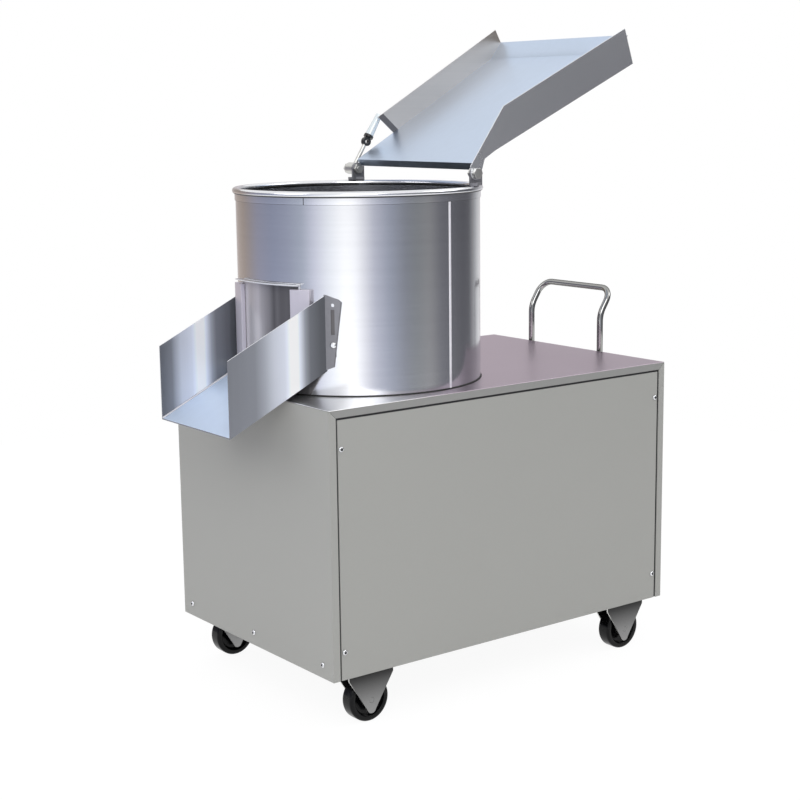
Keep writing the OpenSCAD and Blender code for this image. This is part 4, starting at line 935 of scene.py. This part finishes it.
@dataclass
class Tub(TubWork):
    """Tub wall, rim, lining, floor and turning disc."""

    sheet: float = 0.002
    bead: float = 0.0045
    band: float = 0.0012
    gap: float = 0.0001
    wall_edge: float = 0.0004
    rim_steps: int = 224
    door_half: float = 16.26
    sill_rise: float = 0.005
    head_drop: float = 0.006
    weld_turn: float = -80.0
    weld_half: float = 0.0026
    weld_rise: float = 0.0013
    weld_sink: float = 0.0006
    weld_short: float = 0.0135
    joint_turn: float = -150.0
    joint_half: float = 0.0005
    joint_t: float = 0.0013
    seal: tuple[Point, ...] = ((0.0001, 0.0001), (0.0018, 0.0001), (0.0013, 0.0012), (0.0001, 0.0020))
    floor_edge: float = 0.0006
    liner_edge: float = 0.0004
    disc_edge: float = 0.0008

    def wall(self) -> None:
        """Rolls the wall with its doorway and weld."""
        axis, radius = self.axis, self.radius
        base, top = (corner.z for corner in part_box("tub_shell"))
        gate_low, gate_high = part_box("discharge_gate")
        sill, head = gate_low.z + self.sill_rise, gate_high.z - self.head_drop
        piece = Piece("tub_shell_dressed")
        bm, door = piece.bm, math.radians(2 * self.door_half)
        heights = [(radius, base), (radius, sill), (radius, head), (radius, top)]
        turn(bm, heights, axis, UP, 24, False, heading(DOOR_TURN - self.door_half), door)
        bmesh.ops.delete(bm, geom=[f for f in bm.faces if sill < f.calc_center_median().z < head],
                         context="FACES")
        turn(bm, heights, axis, UP, 232, False, heading(DOOR_TURN + self.door_half), TAU - door)
        for face in bm.faces:
            out = face.calc_center_median() - axis
            if face.normal.dot(Vector((out.x, out.y, 0))) < 0:
                face.normal_flip()
        bmesh.ops.solidify(bm, geom=bm.faces[:], thickness=self.sheet)
        bmesh.ops.recalc_face_normals(bm, faces=bm.faces)
        soften(bm, self.wall_edge)
        piece.ship([self.finish.tub], "tub_shell")
        seam = Piece("tub_weld")
        out, along = heading(self.weld_turn), heading(self.weld_turn + 90)
        foot = axis + out * (radius - self.weld_sink) + UP * base
        prism(seam.bm, [foot + along * self.weld_half * c + out * self.weld_rise * s for c, s in circle(16)],
              UP * (top - base - self.weld_short))
        seam.lay([self.finish.weld], "tub_shell")

    def rim(self) -> None:
        """Rolls the bead and the band under it, with faces that face down in the near-black finish as painted
        shade, and marks the band's joint.
        """
        axis, radius = self.axis, self.radius
        low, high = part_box("rolled_rim")
        edge, core = low.z, high.z - self.bead
        inner, outer = radius + self.gap, radius + self.band
        piece = Piece("rolled_rim_dressed")
        turn(piece.bm, [(radius + self.bead * c, core + self.bead * s) for c, s in circle(24)], axis, UP,
             self.rim_steps)
        turn(piece.bm, [(inner, edge), (outer - self.wall_edge, edge), (outer, edge + self.wall_edge),
                        (outer, core), (inner, core)], axis, UP, self.rim_steps)
        # Painted shade: faces that face down take the near-black finish.
        piece.ship([self.finish.rim, self.finish.shadow], "rolled_rim",
                   pick=lambda face: int(face.normal.z < -0.5))
        joint = Piece("rim_joint")
        out, along = heading(self.joint_turn), heading(self.joint_turn + 90) * self.joint_half
        foot, face = axis + out * radius + UP * edge, out * self.joint_t
        prism(joint.bm, [foot + along, foot - along, foot - along + face, foot + along + face],
              UP * (core - edge))
        joint.lay([self.finish.shadow], "rolled_rim")

    def foot_seal(self) -> None:
        """Runs the thin dark seal round the tub's foot."""
        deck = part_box("top_deck")[1].z
        piece = Piece("tub_foot_seal")
        turn(piece.bm, [(self.radius + r, deck + z) for r, z in self.seal], self.axis, UP, self.rim_steps)
        piece.lay([self.finish.rubber], "tub_shell")

    def build(self) -> None:
        """Builds and dresses the tub."""
        self.wall()
        self.rim()
        self.foot_seal()
        self.round_off(self.finish.zinc, self.floor_edge, "tub_floor")
        self.round_off(self.finish.grit, self.liner_edge, "abrasive_liner")
        self.round_off(self.finish.disc, self.disc_edge, "peeling_disc", segments=3)
        self.round_off(self.finish.bright, self.disc_edge, "disc_nut", segments=3)


@dataclass
class Discharge(TubWork):
    """Chute, gate and guides."""

    gate_half: float = 20.85
    gate_in: float = 0.1753
    gate_t: float = 0.0015
    gate_edge: float = 0.0003
    bend: float = 0.002
    bend_mid: float = 0.0006
    lip: float = 0.010
    flange_r: float = 0.1805
    middle: float = -0.020
    packing_half: float = 1.3
    packing_h: float = 0.066
    packing_t: float = 0.0005
    gap: float = 0.0001
    near_wall: float = -0.110
    far_wall: float = 0.070
    weld: float = 0.0022
    weld_short: float = 0.001
    bed_t: float = 0.00166
    slope: float = 25.4
    apron_half: float = 40.0
    apron_foot: float = 0.0022
    apron_top: float = 0.0397
    apron_t: float = 0.0009
    apron_gap: float = 0.0004
    apron_taper: float = 26.0
    chute_edge: float = 0.0004
    bolt_edge: float = 0.0008
    guide_edge: float = 0.0006

    def strip(self, piece: Piece, t: float, low: float, high: float, middle: float, half: float,
              steps: int) -> None:
        """Rolls a strip of sheet on the tub's outside.

        Args:
            piece: The piece that it is added to.
            t: The sheet's thickness, with the gap under it.
            low: The strip's lower edge.
            high: The strip's upper edge.
            middle: The middle of its arc in degrees.
            half: Half of its arc in degrees.
            steps: Steps of the arc.
        """
        inner, outer = self.radius + self.gap, self.radius + t
        turn(piece.bm, [(inner, low), (outer, low), (outer, high), (inner, high)], self.axis, UP, steps, True,
             heading(middle - half), math.radians(2 * half))

    def slot_shade_strip(self) -> None:
        """Lays a thin dark strip in the slots of the chute's flanges, painted shade that makes the tub seen
        through the slots read darker.
        """
        bolts = loose_boxes("chute_bolts")
        base = min(low.z for low, _ in bolts)
        arms = [(low + high) / 2 - self.axis for low, high in bolts]
        piece = Piece("chute_slot_painted_shade")
        for way in {round(math.degrees(math.atan2(arm.y, arm.x)), 1) for arm in arms}:
            self.strip(piece, self.packing_t, base, base + self.packing_h, way, self.packing_half, 8)
        # Painted shade: the dark strap finish darkens the slots.
        piece.lay([self.finish.strap], "discharge_chute")

    def welds(self) -> None:
        """Runs the welds along the corners of the chute's floor and walls."""
        piece, tip = Piece("chute_corner_welds"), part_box("discharge_chute")[0]
        for aside, way in ((self.far_wall, -self.weld), (self.near_wall, self.weld)):
            foot = Vector((tip.x, aside, tip.z + self.bed_t))
            run = self.axis.x - math.sqrt(self.radius ** 2 - aside ** 2) - self.weld_short - tip.x
            prism(piece.bm, [foot + Vector((0, way * wide, self.weld * tall))
                             for wide, tall in ((0, 0), (1, 0), (0.4, 0.4), (0, 1))],
                  Vector((run, 0, run * math.tan(math.radians(self.slope)))))
        piece.lay([self.finish.weld], "discharge_chute")

    def apron(self) -> None:
        """Rolls the tapered apron that closes the gap between the chute's floor and the deck; its dark finish
        is painted shade under the chute.
        """
        tip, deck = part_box("discharge_chute")[0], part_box("top_deck")[1].z
        top = deck + self.apron_top
        piece = Piece("chute_apron_painted_shade")
        self.strip(piece, self.apron_t, deck + self.apron_foot, top, DOOR_TURN, self.apron_half, 60)
        steep, taper = math.radians(self.slope), math.radians(self.apron_taper)
        cuts = [(tip - UP * self.apron_gap, (-math.sin(steep), 0, math.cos(steep))),
                (Vector((0, self.far_wall, top)), (0, math.cos(taper), -math.sin(taper))),
                (Vector((0, self.near_wall, top)), (0, -math.cos(taper), -math.sin(taper)))]
        for place, out in cuts:
            geom = piece.bm.verts[:] + piece.bm.edges[:] + piece.bm.faces[:]
            bmesh.ops.bisect_plane(piece.bm, geom=geom, dist=1e-6, plane_co=place, plane_no=out,
                                   clear_outer=True)
            bmesh.ops.holes_fill(piece.bm, edges=[e for e in piece.bm.edges if e.is_boundary], sides=0)
        outward(piece.bm)
        # Painted shade: the dark strap finish darkens the tub's foot under the chute.
        piece.lay([self.finish.strap], "discharge_chute")

    def gate(self) -> None:
        """Rolls the gate plate with its folded lip."""
        low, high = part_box("discharge_gate")
        inner, outer, under = self.gate_in, self.gate_in + self.gate_t, high.z - self.gate_t
        piece = Piece("discharge_gate_dressed")
        turn(piece.bm, [(inner, low.z), (outer, low.z), (outer, under - self.bend),
                        (outer + self.bend_mid, under - self.bend_mid), (outer + self.bend, under),
                        (outer + self.lip, under), (outer + self.lip, high.z), (inner + self.bend, high.z),
                        (inner + self.bend_mid, high.z - self.bend_mid), (inner, high.z - self.bend)],
             self.axis, UP, 60, True, heading(DOOR_TURN - self.gate_half), math.radians(2 * self.gate_half))
        soften(piece.bm, self.gate_edge)
        # Painted highlight: the gate's cut edges take the pale edge finish.
        piece.ship([self.finish.gate, self.finish.edge], "discharge_gate", pick=lambda face: int(thin(face)))

    def build(self) -> None:
        """Builds and dresses the discharge."""
        f = self.finish

        def zone(face: Face) -> int:
            """0 for a wall's outside, 1 the floor, 2 a flange or below, darker as painted shade, 3 an edge,
            lighter as a painted highlight, and 4 a wall's inside.
            """
            arm = face.calc_center_bounds() - self.axis
            # Painted shade: flanges and faces that face down take the darker flange finish.
            if math.hypot(arm.x, arm.y) < self.flange_r or face.normal.z < -0.6:
                return 2
            if thin(face):
                return 3
            return 1 if face.normal.z > 0.6 else 4 * int(face.normal.y * (arm.y - self.middle) < 0)

        Piece.copy_of("discharge_chute", self.chute_edge).ship([f.chute, f.bed, f.flange, f.edge, f.chute_in],
                                                               "discharge_chute", pick=zone)
        self.slot_shade_strip()
        self.welds()
        self.apron()
        self.round_off(f.bright, self.bolt_edge, "chute_bolts", segments=3)
        self.round_off(f.guide, self.guide_edge, "gate_guide_near", "gate_guide_far")
        self.gate()


@dataclass
class Feed(Assembly):
    """Feed tray, strap, stay, brackets and hinge bolts."""

    tilt: float = 29.7
    wall_in: float = 0.1434
    tray_edge: float = 0.0004
    strap_in: float = 0.1428
    strap_t: float = 0.0006
    strap_edge: float = 0.0001
    strap_outline: tuple[Point, ...] = (
        (0.0757, 0.0458), (0.0862, 0.0458), (0.0992, 0.0097), (0.0892, 0.0097))
    stay_lean: float = 57.4
    stay_l: float = 0.0904
    stay_edge: float = 0.0005
    tube_from: float = 0.635
    collar_from: float = 0.44
    bracket_edge: float = 0.0006
    bolt_edge: float = 0.0008

    def hinge(self) -> Vector:
        """The middle of the hinge line."""
        low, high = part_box("hinge_bolts")
        return Vector(((low.x + high.x) / 2, 0, (low.z + high.z) / 2))

    def tray(self) -> None:
        """Dresses the tray and adds the strap along its far front edge."""
        f = self.finish

        def zone(face: Face) -> int:
            """0 for a wall's outside, 1 for the floor, 2 for a cut edge and 3 for a wall's inside."""
            aside = face.calc_center_bounds().y
            if abs(face.normal.y) < 0.9:
                return 2 if abs(aside) > self.wall_in else 1
            return 3 if face.normal.y * aside < 0 else 0

        # Painted highlight: the tray's cut edges take the pale edge finish.
        Piece.copy_of("feed_tray", self.tray_edge, join=False).ship([f.tray, f.floor, f.edge, f.warm],
                                                                    "feed_tray", pick=zone)
        strap, turned = Piece("tray_strap"), Matrix.Rotation(math.radians(-self.tilt), 3, "Y")
        prism(strap.bm, [self.hinge() + turned @ Vector((x, self.strap_in, z))
                         for x, z in self.strap_outline], Vector((0, self.strap_t, 0)))
        soften(strap.bm, self.strap_edge, 1)
        strap.lay([f.strap], "feed_tray")

    def stay(self) -> None:
        """Dresses the stay: pale tube, black collar and eye, dark rod end."""
        f, start = self.finish, self.hinge()
        way = Matrix.Rotation(math.radians(-self.stay_lean), 3, "Y") @ Vector((1, 0, 0))

        def zone(face: Face) -> int:
            """0 for the tube, 1 for the collar and the eye and 2 for the rod end."""
            share = (face.calc_center_median() - start).dot(way) / self.stay_l
            return int(share <= self.tube_from) + int(share <= self.collar_from)

        Piece.copy_of("feed_stay", self.stay_edge, 3).ship([f.tube, f.black, f.zinc], "feed_stay", pick=zone)

    def build(self) -> None:
        """Builds and dresses the feed tray."""
        self.tray()
        self.stay()
        # The brackets take the flange finish, whose dark tint is partly painted shade.
        self.round_off(self.finish.flange, self.bracket_edge, "hinge_bracket_near", "hinge_bracket_far")
        self.round_off(self.finish.zinc, self.bolt_edge, "hinge_bolts", segments=3)


@dataclass
class Handle(Assembly):
    """Bent rod push handle on its foot plate."""

    rod: float = 0.00475
    rod_in: float = 0.00725
    rod_end: float = 0.030
    foot: float = 0.004
    foot_below: float = 0.006
    foot_edge: float = 0.0008
    bolt_edge: float = 0.0005
    spread: float = 0.0815
    middle: float = 0.030
    knee_up: float = 0.058
    lean: float = 33.0
    knee_bend: float = 0.040
    corner_bend: float = 0.022

    def build(self) -> None:
        """Builds and dresses the handle."""
        low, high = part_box("push_handle")
        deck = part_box("top_deck")[1].z
        tilt = math.radians(self.lean)
        x, start, knee, top = low.x + self.rod_in, deck - self.rod_end, deck + self.knee_up, high.z - self.rod
        peak = x + (top - knee) / math.cos(tilt) * math.sin(tilt)
        near, far = self.middle - self.spread, self.middle + self.spread
        side = [(x, start), (x, knee), (peak, top)]
        route = [Vector((run, near, z)) for run, z in side]
        route += [Vector((run, far, z)) for run, z in reversed(side)]
        piece = Piece("push_handle_dressed")
        rod(piece.bm, self.rod, route, [self.knee_bend, self.corner_bend, self.corner_bend, self.knee_bend])
        plate, edge = Piece("handle_foot_plate"), deck - self.foot_below
        prism(plate.bm, [(low.x, low.y, low.z), (low.x, high.y, low.z), (low.x, high.y, edge),
                         (low.x, low.y, edge)], Vector((self.foot, 0, 0)))
        soften(plate.bm, self.foot_edge, 3)
        plate.lay([self.finish.zinc], "push_handle")
        piece.ship([self.finish.rod], "push_handle")
        self.round_off(self.finish.zinc, self.bolt_edge, "handle_bolts")


@dataclass
class Drive(Assembly):
    """Shaft, bearings, belt and motor inside the cabinet."""

    def build(self) -> None:
        """Dresses the drive."""
        f = self.finish
        dress(f.machined, "drive_shaft", "upper_bearing", "lower_bearing", "motor_rotor")
        dress(f.cast, "bearing_housing", "driven_pulley", "motor_pulley")
        dress(f.rubber, "shaft_seal", "v_belt")
        dress(f.frame, "drive_plate", "motor_bracket")
        dress(f.zinc, "drive_bolts", "motor_bolts")
        dress(f.motor, "motor_body", "motor_drive_shield", "motor_fan_shield", "motor_fan_cover",
              "terminal_box")
        dress(f.black, "motor_fan")


@dataclass
class Services(Assembly):
    """Drain, water inlet, switch and cable gland."""

    pipe_edge: float = 0.0006
    switch_edge: float = 0.0015
    button_edge: float = 0.0012

    def build(self) -> None:
        """Dresses the services."""
        f = self.finish
        self.round_off(f.zinc, self.pipe_edge, "drain_pipe")
        self.round_off(f.bright, self.pipe_edge, "water_inlet")
        self.round_off(f.black, self.switch_edge, "switch_box", segments=3)
        self.round_off(f.black, self.pipe_edge, "cable_gland")
        self.round_off(f.green, self.button_edge, "start_button", segments=4)
        self.round_off(f.red, self.button_edge, "stop_button", segments=4)


@dataclass(frozen=True)
class Lamp:
    """A square lamp that points at the machine."""

    where: Triple
    size: float
    power: float


@dataclass
class Studio:
    """Pale floor, soft lamps, a backdrop that the metal reflects, and the camera."""

    lens: float = 72.2
    sensor: float = 36.0
    place: Triple = (-1.1503, -1.8874, 0.3881)
    yaw: float = 36.885
    pitch: float = 10.392
    roll: float = 0.691
    aim_z: float = 0.4
    sky_power: float = 0.9
    floor_r: float = 1.9
    floor_grey: float = 0.9
    floor_glow: float = 1.04
    floor_white: float = 0.9
    front: float = -125.5
    wall_r: float = 4.0
    wall_low: float = -1.2
    wall_high: float = 2.1
    glow: float = 1.6
    top_dim: float = 0.35
    lamps: tuple[Lamp, ...] = (Lamp((-1.6, -2.6, 2.4), 1.8, 31.0), Lamp((-3.0, 0.6, 2.0), 1.6, 14.0),
                               Lamp((2.4, -1.6, 2.6), 1.6, 18.0))
    tones: tuple[tuple[float, Colour], ...] = (
        (-180, (.62, .58, .60)), (-152, (.37, .32, .29)), (-132, (.31, .26, .23)), (-120, (.28, .25, .25)),
        (-105, (.26, .26, .32)), (-85, (.24, .26, .34)), (-68, (.28, .30, .38)), (-52, (.36, .39, .46)),
        (-41, (.56, .57, .66)), (-28, (.78, .80, .84)), (-14, (1, 1, 1)), (-5, (.95, .95, .96)),
        (4, (.68, .68, .72)), (12, (.45, .46, .53)), (26, (.29, .31, .37)), (41, (.20, .21, .24)),
        (52, (.19, .20, .21)), (66, (.22, .22, .225)), (80, (.135, .135, .15)), (104, (.10, .10, .11)),
        (113, (.09, .09, .10)), (124, (.10, .10, .11)), (134, (.25, .25, .26)), (150, (.5, .5, .51)),
        (180, (.62, .58, .60)))

    def camera(self) -> None:
        """Sets the camera at the photograph's viewing angle."""
        yaw, pitch, roll = (math.radians(v) for v in (self.yaw, self.pitch, self.roll))
        ahead = Vector((math.sin(yaw) * math.cos(pitch), math.cos(yaw) * math.cos(pitch), -math.sin(pitch)))
        right = Vector((math.cos(yaw), -math.sin(yaw), 0))
        down = ahead.cross(right)
        across = right * math.cos(roll) + down * math.sin(roll)
        below = down * math.cos(roll) - right * math.sin(roll)
        data = bpy.data.cameras.new("camera")
        data.lens, data.sensor_width = self.lens, self.sensor
        turned = Matrix((across, -below, -ahead)).transposed().to_4x4()
        thing = bpy.data.objects.new("camera", data)
        low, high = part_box("top_deck")
        where = Vector((low.x, 0, high.z)) + Vector(self.place)
        thing.matrix_world = Matrix.Translation(where) @ turned
        bpy.context.scene.collection.objects.link(thing)
        bpy.context.scene.camera = thing

    def light(self) -> None:
        """Hangs the lamps."""
        for number, lamp in enumerate(self.lamps):
            data = bpy.data.lights.new(f"lamp_{number}", "AREA")
            data.shape, data.size, data.energy = "SQUARE", lamp.size, lamp.power
            thing = bpy.data.objects.new(f"lamp_{number}", data)
            aim = (UP * self.aim_z - Vector(lamp.where)).to_track_quat("-Z", "Y")
            thing.matrix_world = Matrix.Translation(lamp.where) @ aim.to_matrix().to_4x4()
            bpy.context.scene.collection.objects.link(thing)

    def sky(self) -> None:
        """Lights the room softly and shows white beyond it."""
        world = bpy.data.worlds.new("studio")
        bpy.context.scene.world = world
        g = Graph(world)
        soft = g.add("ShaderNodeBackground", {}, {"Color": (1, 1, 1, 1), "Strength": self.sky_power})
        white = g.add("ShaderNodeBackground", {}, {"Color": (1, 1, 1, 1), "Strength": 1.0})
        mixed = g.add("ShaderNodeMixShader", {}, {0: g.seen(), 1: soft, 2: white})
        g.add("ShaderNodeOutputWorld", {}, {"Surface": mixed})

    def stand(self, name: str, bm: Shape, material: Material) -> bpy.types.Object:
        """Puts a studio piece into the scene.

        Args:
            name: The piece's name.
            bm: Its shape.
            material: Its material.

        Returns:
            The object.
        """
        mesh = bpy.data.meshes.new(name)
        bm.to_mesh(mesh)
        bm.free()
        mesh.materials.append(material)
        thing = bpy.data.objects.new(name, mesh)
        bpy.context.scene.collection.objects.link(thing)
        return thing

    def floor(self) -> None:
        """Lays the pale floor, which keeps the machine's shadow."""
        bm = bmesh.new()
        bmesh.ops.create_circle(bm, cap_ends=True, segments=96, radius=self.floor_r)
        g = Graph(bpy.data.materials.new("floor_white"))
        grey = (self.floor_grey, self.floor_grey, self.floor_grey, 1)
        pale = g.add("ShaderNodeBsdfDiffuse", {}, {"Color": grey})
        glow = g.add("ShaderNodeEmission", {}, {"Color": (1, 1, 1, 1), "Strength": self.floor_glow})
        mixed = g.add("ShaderNodeMixShader", {}, {0: g.seen() * self.floor_white, 1: pale, 2: glow})
        g.add("ShaderNodeOutputMaterial", {}, {"Surface": mixed})
        g.owner.cycles.emission_sampling = "NONE"
        self.stand("floor", bm, g.owner)

    def backdrop(self) -> None:
        """Stands the round backdrop of light and grey flats that the metal reflects."""
        bm = bmesh.new()
        turn(bm, [(self.wall_r, self.wall_low), (self.wall_r, self.wall_high)], Vector((0, 0, 0)), UP, 128,
             False)
        g = Graph(bpy.data.materials.new("backdrop_flats"))
        x, y, z = g.split(g.place())
        round_about = y.math("ARCTAN2", x) * (1 / TAU) + (0.5 - self.front / 360)
        stops = [((angle + 180) / 360, colour) for angle, colour in self.tones]
        flats = g.add("ShaderNodeValToRGB", {"stops": stops}, {0: round_about.math("FRACT")})
        dimmed = g.blend(z.ramp(-0.4, 1.2) * self.top_dim, flats, (0, 0, 0))
        light = g.add("ShaderNodeEmission", {}, {"Color": dimmed, "Strength": self.glow})
        g.add("ShaderNodeOutputMaterial", {}, {"Surface": light})
        self.stand("backdrop", bm, g.owner).visible_camera = False

    def build(self) -> None:
        """Builds the studio."""
        self.camera()
        self.light()
        self.sky()
        self.floor()
        self.backdrop()


def main() -> None:
    """Builds the machine and the studio."""
    logging.basicConfig(level=logging.INFO, format="%(name)s %(message)s")
    bpy.context.scene.view_settings.view_transform = "Standard"
    finish = Finish()
    for kind in (Cabinet, Casters, Tub, Discharge, Feed, Handle, Drive, Services):
        kind(finish).build()
        LOG.info("%s done", kind.__name__)
    Studio().build()


if __name__ == "__main__":
    main()
